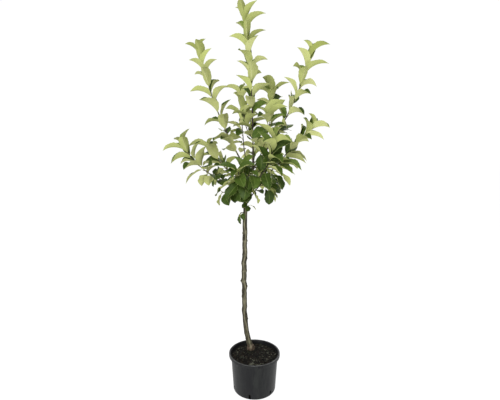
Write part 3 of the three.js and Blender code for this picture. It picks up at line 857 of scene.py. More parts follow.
belongs(joined_mesh("soil_crumbs", copies, crumb_finishes), "soil")

# %% [markdown]
# ## The tree's rule
#
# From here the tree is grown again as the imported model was. Its rule has three parts:
# smooth curves through a few knots for the trunk, a table of limbs that each leave
# their carrier at one heading and slope, and a small repeatable dice. Lengths are in
# millimetres until a mesh is made.

# %% Dice and axes
UP = np.array([0.0, 0.0, 1.0])


class Dice:
    """A small repeatable random number source."""

    def __init__(self, seed):
        self.state = seed * 7919 + 17

    def roll(self):
        self.state = self.state * 48271 % 2147483647
        return self.state / 2147483647

    def spread(self, amount):
        return (self.roll() * 2 - 1) * amount

    def between(self, low, high):
        return mixed(low, high, self.roll())


def unit(vector):
    return vector / np.linalg.norm(vector)


def bell(offset, reach):
    """1 at no offset, and next to nothing at twice the reach."""
    return np.exp(-(offset / reach) ** 2)


print("the first throw of dice 1:", round(Dice(1).roll(), 4))

# %% The trunk's line


def through(knots, height):
    """A smooth curve through knots of (height, value, ...), read at a height."""
    last = len(knots) - 1

    def slope(i, k):
        before, after = knots[max(i - 1, 0)], knots[min(i + 1, last)]
        return (after[k] - before[k]) / (after[0] - before[0])

    i = 0
    while i < last - 1 and height > knots[i + 1][0]:
        i += 1
    span = knots[i + 1][0] - knots[i][0]
    t = (height - knots[i][0]) / span
    values = []
    for k in range(1, len(knots[0])):
        at_start = (1 + 2 * t) * (1 - t) ** 2 * knots[i][k] + t * (1 - t) ** 2 * span * slope(i, k)
        at_end = t * t * (3 - 2 * t) * knots[i + 1][k] + t * t * (t - 1) * span * slope(i + 1, k)
        values.append(at_start + at_end)
    return values


TRUNK_CUT = 174
TRUNK_TOP = 1098
TRUNK_LINE = [(174, -15, 56), (226, -30, 53), (276, -39, 50), (350, -46, 46), (500, -50, 39),
              (700, -46, 34), (890, -45, 30), (970, -36, 29), (1055, -18, 28), (1100, -8, 27)]
TRUNK_GIRTH = [(174, 14.4), (214, 13.6), (240, 12.6), (300, 12.2), (640, 11.9),
               (820, 10.4), (920, 9), (1020, 7.2), (1100, 5.4)]


def trunk_centre(height):
    return np.array([*through(TRUNK_LINE, height), height])


def trunk_radius(height):
    return through(TRUNK_GIRTH, height)[0]


print("trunk at 500 mm:", trunk_centre(500), "radius", round(trunk_radius(500), 2))

# %% [markdown]
# Tubes are the same job from trunk to leaf stalk: a line of points, a radius at each
# point, and closed ends. Extruding rings would be slow for three hundred stalks.
# A curve with a round bevel takes a radius at every point and many lines at once, and
# converting it gives one mesh, which only needs its end caps sewn on.

# %% Tubes along lines


def tubes(name, strands, finishes, roundness):
    """Closed tubes as one mesh, from (points in mm, radius or radii in mm, finish number)."""
    put_down()
    curve = bpy.data.curves.new(name, "CURVE")
    curve.dimensions = "3D"
    curve.bevel_depth = 1
    curve.bevel_resolution = roundness
    curve.use_fill_caps = True
    for material in finishes:
        curve.materials.append(material)
    for points, radii, number in strands:
        line = curve.splines.new("POLY")
        line.points.add(len(points) - 1)
        flat = np.column_stack([np.asarray(points) * MM, np.ones(len(points))])
        line.points.foreach_set("co", flat.ravel())
        radii = np.broadcast_to(np.asarray(radii, float) * MM, len(points))
        line.points.foreach_set("radius", radii.copy())
        line.material_index = number
        line.use_smooth = True
    piece = bpy.data.objects.new(name, curve)
    bpy.context.scene.collection.objects.link(piece)
    take(piece)
    bpy.ops.object.convert(target="MESH")
    return closed_up(named(name))


def lined_up(points, spacing):
    """More points on a smooth line through these, about this far apart."""
    points = np.asarray(points, float)
    ends = np.vstack([2 * points[0] - points[1], points, 2 * points[-1] - points[-2]])
    line = []
    for i in range(1, len(ends) - 2):
        before, here, there, after = ends[i - 1:i + 3]
        count = max(1, round(np.linalg.norm(there - here) / spacing))
        for t in np.arange(count) / count:
            line.append(0.5 * (2 * here + (there - before) * t
                               + (2 * before - 5 * here + 4 * there - after) * t * t
                               + (3 * here - before - 3 * there + after) * t ** 3))
    return np.array([*line, points[-1]])


print("a straight line of 100 mm has", len(lined_up([(0, 0, 0), (100, 0, 0)], 4)), "points")

# %% [markdown]
# ## The trunk
#
# The stem of a bought tree is two plants. The rootstock is a short thick stump at the
# soil, and the grafted stem leaves its left shoulder. Higher up, small spurs were
# pruned off and left knobs, and one left a pale scar. The stem also wanders a little at
# each old bud. The bark is young: fine wrinkles run along it, faint ridges go round it
# where each year's growth began, and pores lie across it. So the stem is a fine tube,
# and every mark is real relief, worked out from each vertex's height and heading.

# %% Where the stem wanders
KINKS = 30
KINK_HEIGHTS = (250, 1080)
KINK_SHIFT = 1.9
KINK_REACH = 17
# Where the stem leans aside: height, how far to the right, and over what reach.
LEANS = [(408, 3.6, 18), (446, 1, 10), (486, -1, 9), (504, 1.5, 9), (541, -2.4, 12), (628, -1.4, 12)]


def stem_centre(height):
    """The stem's centre, which wanders off the trunk's smooth line at each old bud."""
    bends = Dice(12)
    place = trunk_centre(height)
    for _ in range(KINKS):
        near = bell(height - bends.between(*KINK_HEIGHTS), KINK_REACH)
        place[0] += bends.spread(KINK_SHIFT) * near
        place[1] += bends.spread(KINK_SHIFT) * near
    for at, lean, reach in LEANS:
        place[0] += lean * bell(height - at, reach)
    return place


print("the stem at 500 mm:", stem_centre(500).round(1))

# %% Marks in the bark
# Height, heading in degrees, rise and reach in millimetres.
KNOBS = [(342, -10, 2.6, 7), (514, -20, 4, 8), (540, 190, 4.6, 8), (592, -5, 2.6, 9), (653, -15, 2.8, 8),
         (742, -10, 2.6, 7), (470, 150, 1.2, 10), (486, 240, 1.6, 9), (430, 60, 1.6, 8),
         (610, 130, 1.8, 9), (700, 240, 1.6, 8), (835, 100, 1.8, 8), (860, 215, 1.6, 8),
         (260, 170, 1.4, 12), (395, 205, 1.5, 9), (781, 190, 2, 8), (672, 185, 1.4, 8),
         (628, 185, 1.8, 13), (460, 190, 1.8, 9)]
WRINKLES = 14
WRINKLE_RISE = 0.1
GROWTH_RIDGES = 22
RIDGE_HEIGHTS = (230, 1085)
RIDGE_RISE = (0.3, 0.9)
RIDGE_SLOPE = 3
RIDGE_REACH = 2.2
PORES = 230
PORE_HEIGHTS = (215, 1080)
PORE_RISE = 0.42
PORE_SIZE = 0.9
PORE_WIDTH = (0.1, 0.24)    # radians round the stem
# The collar above the graft and the groove under it: height, rise and reach.
GRAFT_LINES = [(233, 0.35, 5), (222, -0.3, 3)]


def turned_from(heading, azimuth):
    """The angle between two headings, from minus to plus half a turn."""
    return np.angle(np.exp(1j * (heading - azimuth)))


def wrinkles(height, heading, marks, turns, lengths, waver):
    """The sum of wavy lines along the stem, by how many go round it, and their lengths."""
    total = np.zeros_like(height)
    for _ in range(WRINKLES):
        count = 3 + int(marks.roll() * turns)
        slip = marks.roll() * 7
        length = marks.between(*lengths)
        total += np.sin(count * heading + slip + waver * np.sin(height / length + slip))
    return total


def bark_relief(height, heading):
    """How far the bark stands out, in millimetres, at heights and headings."""
    marks = Dice(5)
    rise = WRINKLE_RISE * wrinkles(height, heading, marks, 8, (14, 60), 1.3)
    for at, azimuth, stand, reach in KNOBS:
        facing = np.maximum(0, np.cos(heading - math.radians(azimuth)))
        rise += stand * bell(height - at, reach) ** 2 * facing ** 4
    for _ in range(GROWTH_RIDGES):
        at = marks.between(*RIDGE_HEIGHTS)
        slope = marks.spread(RIDGE_SLOPE)
        rise += marks.between(*RIDGE_RISE) * bell(height - at - slope * np.cos(heading), RIDGE_REACH)
    for _ in range(PORES):
        at = marks.between(*PORE_HEIGHTS)
        across = turned_from(heading, marks.spread(math.pi))
        rise += PORE_RISE * bell(height - at, PORE_SIZE) * bell(across, marks.between(*PORE_WIDTH))
    for at, stand, reach in GRAFT_LINES:
        rise += stand * bell(height - at, reach)
    return rise


print("knobs:", len(KNOBS), "pores:", PORES)

# %% [markdown]
# The bark is a dull dark olive, brown near the graft, and paler in two places: in a
# wandering strip up the front, which is painted light that stands for the front lamp
# with the sides in shade, and in rings at old buds, which are pale marks of the bark
# itself. The pores are paler than the rest. The strip follows the stem, so a noise
# texture can't draw it. How pale the bark is goes into a mask that is kept for each vertex.

# %% Where the bark is painted pale
# The strip of painted light faces the front, where the lamp is; its sides stand for shade.
FRONT = -math.pi / 2
# Waves of the pale strip: radians either way, millimetres and phase.
STRIP_WANDERS = [(0.2, 37, 1), (0.18, 15, 0)]
STRIP_SWELLS = (0.12, 23, 2)
STRIP_ASIDE = 0.12
STRIP_WIDTH = 0.33
STRIP_STRENGTH = 0.85
STRIP_UNEVEN = 0.2
RING_TILT = 2           # millimetres
OFF_THE_STRIP = 0.35    # a ring is this strong off the strip
# Pale rings where a bud or a spur once stood: height, reach and strength.
RINGS = [(786, 8, 0.9), (742, 5, 0.7), (700, 4, 0.3), (672, 4, 0.4), (628, 9, 0.7), (592, 4, 0.6),
         (541, 5, 0.8), (440, 12, 0.7), (350, 5, 0.3), (291, 7, 0.4), (262, 6, 0.3), (218, 15, 0.9)]


def wave(height, swing, length, phase):
    return swing * np.sin(height / length + phase)


def painted_light_and_rings(height, heading):
    """How pale the bark is painted, from 0 to 1: painted light up the front, and pale rings."""
    wander = sum(wave(height, *each) for each in STRIP_WANDERS) + STRIP_ASIDE
    pale = bell(turned_from(heading, FRONT + wander), STRIP_WIDTH + wave(height, *STRIP_SWELLS))
    pale *= STRIP_STRENGTH + STRIP_UNEVEN * wrinkles(height, heading, Dice(9), 12, (9, 40), 1.6)
    for at, reach, strength in RINGS:
        ring = strength * bell(height - at - RING_TILT * np.cos(heading), reach)
        pale += ring * mixed(OFF_THE_STRIP, 1, pale)
    return np.clip(pale, 0, 1)


print("pale rings:", len(RINGS))

# %% Bark finishes
PORE_STRETCH = (1, 1, 2.6)
stem_bark = finish(
    "stem_bark", (58, 55, 40),
    [patches((43, 40, 26), 26, 0.42, 0.6, (1, 1, 0.3)),
     patches((84, 74, 66), 17, 0.58, 0.66, (1, 1, 0.6)),
     patches((36, 32, 23), 110, 0.5, 0.62, (1, 1, 0.25)),
     dots((120, 114, 94), 150, 0.06, 0.1, PORE_STRETCH)],
    rough=(0.72, 0.86), grain_of=(420, 0.0009, (1, 1, 0.2)), shine=0.2,
)
rootstock_bark = finish(
    "rootstock_bark", (106, 92, 78),
    [patches((70, 56, 46), 55, 0.42, 0.6, (1, 1, 0.5)),
     patches((146, 130, 108), 38, 0.58, 0.66),
     dots((150, 140, 122), 190, 0.05, 0.12, PORE_STRETCH)],
    rough=(0.85, 0.95), grain_of=(380, 0.0012, (1, 1, 0.35)), shine=0.2,
)
shoot_bark = finish(
    "shoot_bark", (66, 55, 52),
    [patches((48, 38, 38), 40, 0.4, 0.6, (1, 1, 0.5)),
     patches((90, 80, 68), 90, 0.58, 0.72),
     dots((150, 142, 120), 260, 0.05, 0.1, PORE_STRETCH)],
    rough=(0.6, 0.78), grain_of=(700, 0.0003), shine=0.25,
)
print("bark finishes ready")

# %% Raise the trunk
TRUNK_RING = 2.4    # between rings, in millimetres
TRUNK_ROUNDNESS = 12
SCION_FOOT = 180

heights = np.linspace(SCION_FOOT, TRUNK_TOP, round((TRUNK_TOP - SCION_FOOT) / TRUNK_RING) + 1)
line = [stem_centre(height) for height in heights]
girth = [trunk_radius(height) for height in heights]
trunk = tubes("grafted_stem", [(line, girth, 0)], [stem_bark], TRUNK_ROUNDNESS)

places = corners(trunk, MM)
height = places[:, 2]
centres = np.array([stem_centre(each) for each in np.clip(height, SCION_FOOT, TRUNK_TOP)])
out = places[:, :2] - centres[:, :2]
reach = np.linalg.norm(out, axis=1)
skin = reach > 1
heading = np.arctan2(out[:, 1], out[:, 0])
rise = bark_relief(height, heading)
places[skin, :2] += (out[skin].T * rise[skin] / reach[skin]).T
move_corners(trunk, places, MM)
# Painted light up the front of the stem, and pale rings at old buds.
masked(stem_bark, trunk, "painted_strip_and_rings", painted_light_and_rings(height, heading), (130, 126, 103))
smoothed(trunk)
belongs(trunk, "bark", "trunk")

# %% [markdown]
# The rootstock was cut above the bud, and the wound healed into a knuckle beside the
# stem. It spreads into a few root ridges where it meets the soil. It could be one turned
# piece, but a graft is a lumpy union of three things: the stump, the knuckle, and the
# swollen foot of the stem. So those are three simple pieces, joined, and a Remesh
# modifier draws one skin over them, which is smoothed and roughened.

# %% The rootstock
STUMP_PROFILE = [(3, 168), (18, 168), (18.2, 172), (18.6, 175), (19.2, 178), (19.8, 181), (19.6, 185),
                 (18.4, 189), (16.6, 193), (14, 197), (10, 200), (5, 201.6), (2, 202)]
STUMP_SIDES = 72
# Heading, rise and width in degrees of each root ridge.
ROOT_RIDGES = [(-112, 1.6, 18), (-76, -1.6, 9), (-34, 1, 12), (30, 4, 20), (120, 4.4, 15), (200, 3.4, 20)]
RIDGE_FADE = 9
RIDGE_START = 12        # a ridge is full this far out from the stump's middle
KNUCKLE_SIZE = (12, 11, 11)
KNUCKLE_PLACE = (-9.5, 50, 189)
KNUCKLE_TURN = (8, -24, 0)
SHOULDER_DROP = 0.5     # the old cut slopes down to the right by this much,
SHOULDER_FROM = -9      # from this far right,
SHOULDER_HEIGHTS = (180, 190, 206)  # and from the first of these up, in full at the next
UNION_FOOT = 176
UNION_TOP = 226
UNION_RINGS = 18
UNION_ROUNDNESS = 10
UNION_SWELL = (1.3, -1.2)   # thicker than the stem at its foot, and inside it at its top
SKIN_VOXEL = 0.9

stump = turned("rootstock", STUMP_PROFILE, STUMP_SIDES)
places = corners(stump, MM)
heading = np.degrees(np.arctan2(places[:, 1], places[:, 0]))
away = np.maximum(np.linalg.norm(places[:, :2], axis=1), 1e-6)
fade = np.exp(-np.maximum(0, places[:, 2] - TRUNK_CUT) / RIDGE_FADE)
swell = np.zeros(len(places))
for azimuth, stand, width in ROOT_RIDGES:
    swell += stand * bell((heading - azimuth + 180) % 360 - 180, width) * fade
places[:, :2] *= (1 + swell * np.clip(away / RIDGE_START, 0, 1) / away)[:, None]
places[:, :2] += STUMP_CENTRE
move_corners(stump, places, MM)

knuckle = added(bpy.ops.mesh.primitive_uv_sphere_add, "healed_knuckle",
                scale=[side * MM for side in KNUCKLE_SIZE], place=[side * MM for side in KNUCKLE_PLACE],
                turn=[math.radians(angle) for angle in KNUCKLE_TURN], segments=32, ring_count=20, radius=1)
shares = np.linspace(0, 1, UNION_RINGS)
heights = mixed(UNION_FOOT, UNION_TOP, shares)
line = [stem_centre(height) for height in heights]
girth = [trunk_radius(height) + mixed(*UNION_SWELL, share) for height, share in zip(heights, shares)]
union = tubes("graft_union", [(line, girth, 0)], [], UNION_ROUNDNESS)

stump = as_one("rootstock", [stump, knuckle, union])
modified(stump, "REMESH", mode="VOXEL", voxel_size=SKIN_VOXEL * MM)
modified(stump, "SMOOTH", factor=0.5, iterations=9)
places = corners(stump, MM)
low, high, top = SHOULDER_HEIGHTS
shoulder = np.clip((places[:, 2] - low) / (high - low), 0, 1)
shoulder *= np.maximum(0, places[:, 0] - SHOULDER_FROM)
places[:, 2] -= SHOULDER_DROP * shoulder * (places[:, 2] < top)
move_corners(stump, places, MM)
roughened(stump, "rough_bark", [(8, 1.6), (3, 1)])
report(stump)

# %% [markdown]
# The knuckle's front carries a painted highlight, a pale tan, and beside that the old
# cut left a notch, which is pressed in and painted dark as shade. How strong each of
# the two is at each vertex goes into an attribute, and the bark finish reads it as a
# mask with a soft edge. Assigning whole faces would leave a stepped border.

# %% Painted highlight and shade on the rootstock
# The attribute's name, its place, its reach, the colour it brings and how deep it is.
# A painted highlight on the knuckle's front, and painted shade in the notch.
STUMP_PAINTED_LIGHT = [
    ("pale", (-17.5, 37, 199), (6, 14, 13), (150, 140, 118), 0),
    ("notch", (-5, 38, 193), (5, 12, 5.5), (34, 28, 22), 3.2),
]

places = corners(stump, MM)
for name, place, reach, tint, depth in STUMP_PAINTED_LIGHT:
    mask = np.exp(-(((places - place) / reach) ** 2).sum(1))
    masked(rootstock_bark, stump, name, mask, tint)
    places[:, 1] += depth * mask * (places[:, 1] < STUMP_CENTRE[1])
move_corners(stump, places, MM)
stump.data.materials.clear()
stump.data.materials.append(rootstock_bark)
smoothed(stump)
belongs(stump, "bark")

# %% [markdown]
# ## Limbs
#
# Each limb is a line in short straight steps. It leaves the trunk, or the limb that
# carries it, at one heading, and its slope changes evenly from foot to tip, which
# bends it up towards the light. Its leaves begin at `bare`, and `age` goes from that of
# the first leaf to that of the last: 1 is an old leaf and 0 one that is just open.

# %% Lines of the limbs
LIMB_STEP = 20


def limb_path(foot, level, rise, length):
    """Steps in one upright plane, with an evenly changing slope."""
    steps = max(2, math.ceil(length / LIMB_STEP))
    points = [foot]
    for i in range(steps):
        slope = math.radians(mixed(*rise, (i + 0.5) / steps))
        step = level * math.cos(slope) + UP * math.sin(slope)
        points.append(points[-1] + step * length / steps)
    return np.array(points)


def along(path, distance):
    """The place and heading at a distance along a line."""
    steps = np.diff(path, axis=0)
    lengths = np.linalg.norm(steps, axis=1)
    for i, length in enumerate(lengths):
        if distance <= length or i == len(lengths) - 1:
            way = steps[i] / length
            return path[i] + way * distance, way
        distance -= length


print("limbs go in steps of about", LIMB_STEP, "mm")

# %% The limbs
LIMBS = {}


def limb(name, foot, heading, rise, length, bare, leaves, age, seed, on=None, droop=1.0, leaf_size=1.0):
    """Adds a limb. foot is a height on the trunk, or a distance along the limb it is on."""
    angle = math.radians(heading)
    level = np.array([math.cos(angle), math.sin(angle), 0])
    start = along(LIMBS[on].path, foot)[0] if on else trunk_centre(foot)
    LIMBS[name] = SimpleNamespace(
        name=name, length=length, bare=bare, leaves=leaves, age=age, seed=seed, on=on, droop=droop,
        leaf_size=leaf_size, mass=on or name, path=limb_path(start, level, rise, length),
        across=np.cross(UP, level))


limb("leader", 1098, 205, (91, 82), 641, 95, 25, (0.62, 0), 551)
limb("leader_twig", 120, 150, (45, 88), 125, 20, 7, (0.6, 0.3), 559, on="leader")
limb("left_tall", 1050, 154, (54, 76), 632, 115, 20, (0.62, 0), 273)
limb("right_tall", 1085, -18, (49, 76), 560, 165, 17, (0.6, 0), 314)
limb("right_tall_twig", 170, -130, (40, 84), 120, 18, 7, (0.6, 0.3), 569, on="right_tall")
limb("left_low", 1000, 189, (6, 60), 365, 75, 19, (1, 0.15), 525)
limb("left_mid", 1020, 160, (20, 56), 260, 80, 10, (0.7, 0.2), 552)
limb("right_low", 918, -11, (55, 44), 462, 105, 20, (0.85, 0.15), 240)
limb("right_low_spur", 112, -50, (12, -6), 56, 14, 7, (1, 0.95), 555, on="right_low", droop=0.9)
limb("back_right", 1066, 58, (36, 92), 455, 140, 16, (0.75, 0.1), 605)
limb("back_left", 1025, 104, (46, 92), 450, 120, 16, (0.7, 0.1), 33)
limb("front_right", 1022, -62, (8, 76), 320, 70, 17, (0.85, 0.1), 287)
limb("front_right_twig", 110, -25, (20, 50), 110, 20, 7, (0.8, 0.3), 322, on="front_right")
limb("front_low", 975, -104, (26, 44), 190, 24, 16, (1, 0.45), 325)
limb("front_low_twig_right", 75, -70, (30, 50), 110, 14, 11, (1, 0.6), 540, on="front_low")
limb("front_low_twig_up", 70, -95, (62, 80), 95, 14, 8, (0.62, 0.2), 561, on="front_low")
limb("front_low_spur", 34, -60, (2, -8), 80, 10, 7, (1, 0.95), 527, on="front_low")
limb("left_under", 940, -168, (34, 4), 120, 34, 8, (1, 0.9), 529, droop=0.95)
limb("back_low", 985, 78, (30, 60), 300, 60, 13, (0.72, 0.15), 543)
limb("back_low_twig", 90, 35, (25, 50), 150, 20, 8, (0.72, 0.4), 545, on="back_low")
limb("back_turn", 950, 128, (28, 50), 250, 50, 10, (0.72, 0.3), 582)
limb("stem_left", 878, 205, (10, 0), 22, 0, 3, (1, 0.9), 330, leaf_size=0.46, droop=1.2)
limb("stem_right", 905, -40, (10, 0), 22, 0, 3, (1, 0.9), 303, leaf_size=0.42, droop=1.2)
MASSES = list(dict.fromkeys(each.mass for each in LIMBS.values()))
print(len(LIMBS), "limbs in", len(MASSES), "masses; leader's tip:", LIMBS["leader"].path[-1].round(1))

# %% [markdown]
# ## Leaves by rule
#
# A new leaf stands a golden angle round the stem from the one before, so no two shade
# each other. Young leaves are narrow, upright and folded along the midrib; old ones
# are broad, flat and turned to the sky, and they droop. Each measure below goes from
# its value on a young leaf to that on an old one.

# %% Where leaves stand and how they lie
LEAF = dict(length=(93, 82), width=(0.55, 0.74), petiole=(12, 24), lift=(20, 64), turn=(-5, 12),
            arch=(60, 42), fold=(30, 10), sky=(0.08, 0.75), roll=(14, 30))
SPREAD = dict(lift=9, length=0.12, width=0.1, petiole=0.25, turn=8, arch=16, fold=7)
DROOP = 0.95
DROOP_FROM_AGE = 0.35
DROOP_POWER = 1.3
PETIOLE_UPTURN = (0.25, -0.25)  # at no droop and at full droop
BLADE_UPTURN = (0.2, -0.95)
GOLDEN_ANGLE = 137.5
FACELESS = 0.05         # a face shorter than this has no direction of its own


def leaf_at(seed, root, way, turn, age, size, each):
    """Everything that sets one leaf: where it roots, its axes and its measures."""
    dice = Dice(seed)
    style = {key: mixed(*ends, age) for key, ends in LEAF.items()}
    ripeness = max(0, (age - DROOP_FROM_AGE) / (1 - DROOP_FROM_AGE))
    droop = DROOP * ripeness ** DROOP_POWER * each.droop
    outward = unit(np.cross(way, each.across)) * math.cos(turn) + each.across * math.sin(turn)

    def angle(key):
        return math.radians(style[key] + dice.spread(SPREAD[key]))

    def chance(key):
        return 1 + dice.spread(SPREAD[key])

    def leaning(angle, upturn):
        return unit(way * math.cos(angle) + outward * math.sin(angle) + UP * mixed(*upturn, droop))

    lift = angle("lift")
    petiole_way = leaning(lift, PETIOLE_UPTURN)
    length = style["length"] * size * chance("length") * each.leaf_size
    width = length * style["width"] * chance("width")
    petiole = style["petiole"] * size * chance("petiole")
    blade_angle = lift + angle("turn")
    ahead = leaning(blade_angle, BLADE_UPTURN)
    face = unit(way * math.sin(blade_angle) - outward * math.cos(blade_angle))
    face = unit(mixed(face, UP, style["sky"]))
    face = face - ahead * (face @ ahead)
    if np.linalg.norm(face) < FACELESS:
        face = way - ahead * (way @ ahead)
    face = unit(face)
    roll = math.radians(dice.spread(style["roll"]))
    face = unit(face * math.cos(roll) + np.cross(ahead, face) * math.sin(roll))
    return SimpleNamespace(
        seed=seed, root=root, base=root + petiole_way * petiole, petiole_way=petiole_way, way=way,
        outward=outward, ahead=ahead, face=face, side=np.cross(ahead, face), length=length,
        width=width, age=age, arch=angle("arch"), fold=angle("fold"), limb=None)


print("a leaf's measures:", list(LEAF))

# %% The midrib


def midrib(leaf, station):
    """Places on the midrib, which bends evenly away from the face, and its normals."""
    angle = leaf.arch * np.asarray(station, float)[..., None]
    bend = leaf.length / leaf.arch
    place = leaf.base + leaf.ahead * bend * np.sin(angle) - leaf.face * bend * (1 - np.cos(angle))
    return place, leaf.face * np.cos(angle) + leaf.ahead * np.sin(angle)


print("old leaves arch by", LEAF["arch"][1], "degrees")

# %% [markdown]
# A leaf is kept only where it has room: off bare wood, off its own stems, nearer to
# its own mass than to any other, and clear of the mass's other blades. Points spread
# over the blade stand for it in that test. One that has no room is turned and tried
# again, and then made smaller.

# %% Wood and stems to keep off
BARE_WOOD_RADIUS = 3.5

wood = []
for low in np.arange(TRUNK_CUT, TRUNK_TOP, LIMB_STEP):
    high = min(low + LIMB_STEP, TRUNK_TOP)
    wood.append((trunk_centre(low), trunk_centre(high), trunk_radius(low)))
stems = {mass: [] for mass in MASSES}
for each in LIMBS.values():
    bare = 0 if each.on else each.bare
    distances = np.linspace(0, each.length, len(each.path))
    split = along(each.path, bare)[0]
    head = [*each.path[distances < bare], split]
    tail = [split, *each.path[distances > bare + 1e-6]]
    wood += [(start, end, BARE_WOOD_RADIUS) for start, end in zip(head, head[1:])]
    stems[each.mass] += zip(tail, tail[1:])
wood_from, wood_to, wood_radius = (np.array(column) for column in zip(*wood))
stems = {mass: [np.array(ends) for ends in zip(*pairs)] for mass, pairs in stems.items()}
print("segments of bare wood:", len(wood))

# %% Room for leaves
WOOD_ROOM = 9
STEM_ROOM = 5
SPACE_MARGIN = 2
LEAF_ROOM = 6
PROBE_STATIONS = np.repeat((0.08, 0.22, 0.36, 0.5, 0.64, 0.78, 0.92), 5)
PROBE_WIDTHS = np.repeat((0.45, 0.82, 0.98, 0.98, 0.86, 0.64, 0.3), 5)
PROBE_SHARES = np.tile((-1, -0.5, 0, 0.5, 1), 7)
PETIOLE_PROBES = 5


def distances_to(points, starts, ends):
    """From every point to every segment."""
    steps = ends - starts
    offsets = points[:, None, :] - starts[None]
    share = np.clip((offsets * steps).sum(2) / (steps * steps).sum(1), 0, 1)
    return np.linalg.norm(offsets - steps * share[..., None], axis=2)


def probes_of(leaf):
    """Points all over a blade and its tip."""
    place, normal = midrib(leaf, PROBE_STATIONS)
    reach = (leaf.width / 2 * PROBE_WIDTHS * PROBE_SHARES)[:, None]
    edge = leaf.side * reach * math.cos(leaf.fold) + normal * abs(reach) * math.sin(leaf.fold)
    return np.vstack([place + edge, midrib(leaf, [1.0])[0]])


def has_room(leaf, mass, others, room):
    """True where the leaf is off all wood, in its own mass's space and off other blades."""
    probes = leaf.probes
    if (distances_to(probes, wood_from, wood_to) < wood_radius + WOOD_ROOM).any():
        return False
    own = distances_to(probes, *stems[mass]).min(1)
    if own.min() < STEM_ROOM:
        return False
    for other in MASSES:
        if other != mass and (distances_to(probes, *stems[other]).min(1) < own + SPACE_MARGIN).any():
            return False
    for other in others:
        apart = probes[PETIOLE_PROBES:, None] - other.probes[None, PETIOLE_PROBES:]
        if ((apart * apart).sum(2) < room ** 2).any():
            return False
    return True


def grown(each, leaves, root, way, age, seed, tries, room):
    """The first try that has room, as a leaf that joins the others. A try is a turn and a size."""
    for turn, size in tries:
        leaf = leaf_at(seed, root, way, turn, age, size, each)
        leaf.probes = probes_of(leaf)
        if has_room(leaf, each.mass, leaves, room):
            leaves.append(leaf)
            return leaf
    return None


print("points that stand for a blade:", len(PROBE_STATIONS) + 1)

# %% Set the leaves
FIRST_LEAF = 4
LAST_LEAF = 3
LEAF_CROWDING = 0.9
TOP_LEAF_SIZE = 0.68
SWINGS = (0, 28, -28, 56, -56, 90, -90, 130, -130, 180)
SIZES = (1, 0.85, 0.7)


def seed_from(dice):
    return int(dice.roll() * 1e6) + 1


def set_leaves(each, leaves):
    """Sets a limb's leaves, from first to tip, among those its mass has."""
    dice = Dice(each.seed)
    first_turn = dice.roll() * 360
    for i in range(each.leaves):
        share = i / (each.leaves - 1)
        distance = mixed(each.bare + FIRST_LEAF, each.length - LAST_LEAF, share ** LEAF_CROWDING)
        size = TOP_LEAF_SIZE if share == 1 and each.leaves > 3 else 1
        tries = [(math.radians(first_turn + i * GOLDEN_ANGLE + swing), size * smaller)
                 for smaller in SIZES for swing in SWINGS]
        leaf = grown(each, leaves, *along(each.path, distance), mixed(*each.age, share),
                     seed_from(dice), tries, LEAF_ROOM)
        if leaf:
            leaf.limb, leaf.distance = each.name, distance


def total(of_masses):
    return sum(len(things) for things in of_masses.values())


leaves_of = {mass: [] for mass in MASSES}
for each in LIMBS.values():
    set_leaves(each, leaves_of[each.mass])
print("leaves:", {mass: len(leaves) for mass, leaves in leaves_of.items()})

# %% [markdown]
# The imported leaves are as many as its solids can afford. The dressed tree carries the
# rule one step finer: short spurs stand on each limb between the leaves, and each bears
# a few smaller ones. They pass the same test for room, so they fill gaps in the crown
# and stay inside its reach.

# %% Spurs between the leaves
SPUR_STEP = 30
SPUR_AGE = 0.7       # spurs stand on wood at least this old
SPUR_LIMB = 130      # and on limbs at least this long
SPUR_LENGTH = (7, 20)
SPUR_LEAVES = (0.66, 0.56, 0.46)
SPUR_LEAF_ROOM = 5
SPUR_SPACING = (0.8, 1.2)
SPUR_WAY = (0.7, 0.25)  # how far it leans along the limb and up, for each part outwards


def set_spurs(each, leaves, spurs):
    """Sets short spurs on a limb, each with up to three small leaves."""
    dice = Dice(each.seed + 400)
    distance = each.bare + SPUR_STEP / 2
    while distance < each.length:
        root, way = along(each.path, distance)
        turn = math.radians(dice.roll() * 360)
        outward = unit(np.cross(way, each.across)) * math.cos(turn) + each.across * math.sin(turn)
        spur_way = unit(way * SPUR_WAY[0] + outward + UP * SPUR_WAY[1])
        tip = root + spur_way * dice.between(*SPUR_LENGTH)
        age = mixed(*each.age, (distance - each.bare) / (each.length - each.bare))
        if age < SPUR_AGE:
            break
        bearing = False
        for i, size in enumerate(SPUR_LEAVES):
            tries = [(turn + math.radians(i * GOLDEN_ANGLE + swing), size) for swing in SWINGS]
            leaf = grown(each, leaves, tip, way, age, seed_from(dice), tries, SPUR_LEAF_ROOM)
            bearing = bearing or leaf is not None
        if bearing:
            spurs.append((root, tip))
        distance += SPUR_STEP * dice.between(*SPUR_SPACING)


spurs_of = {mass: [] for mass in MASSES}
for each in LIMBS.values():
    if each.length > SPUR_LIMB:
        set_spurs(each, leaves_of[each.mass], spurs_of[each.mass])
print("spurs:", total(spurs_of), "leaves in all:", total(leaves_of))

# %% [markdown]
# ## One blade, made well
#
# Some hundreds of leaves share three patterns, so each is made with care. It starts as
# a grid, with one way along the midrib and the other across. The columns are drawn into
# the leaf's outline, the edge is cut into forward-pointing teeth, and the surface is
# quilted between side veins. A Solidify modifier gives it a thin body, so it is closed
# and has an upper skin, a paler underside and a midrib, each with its own finish. A
# bump map of veins would vanish edge-on, where most of these leaves are seen.

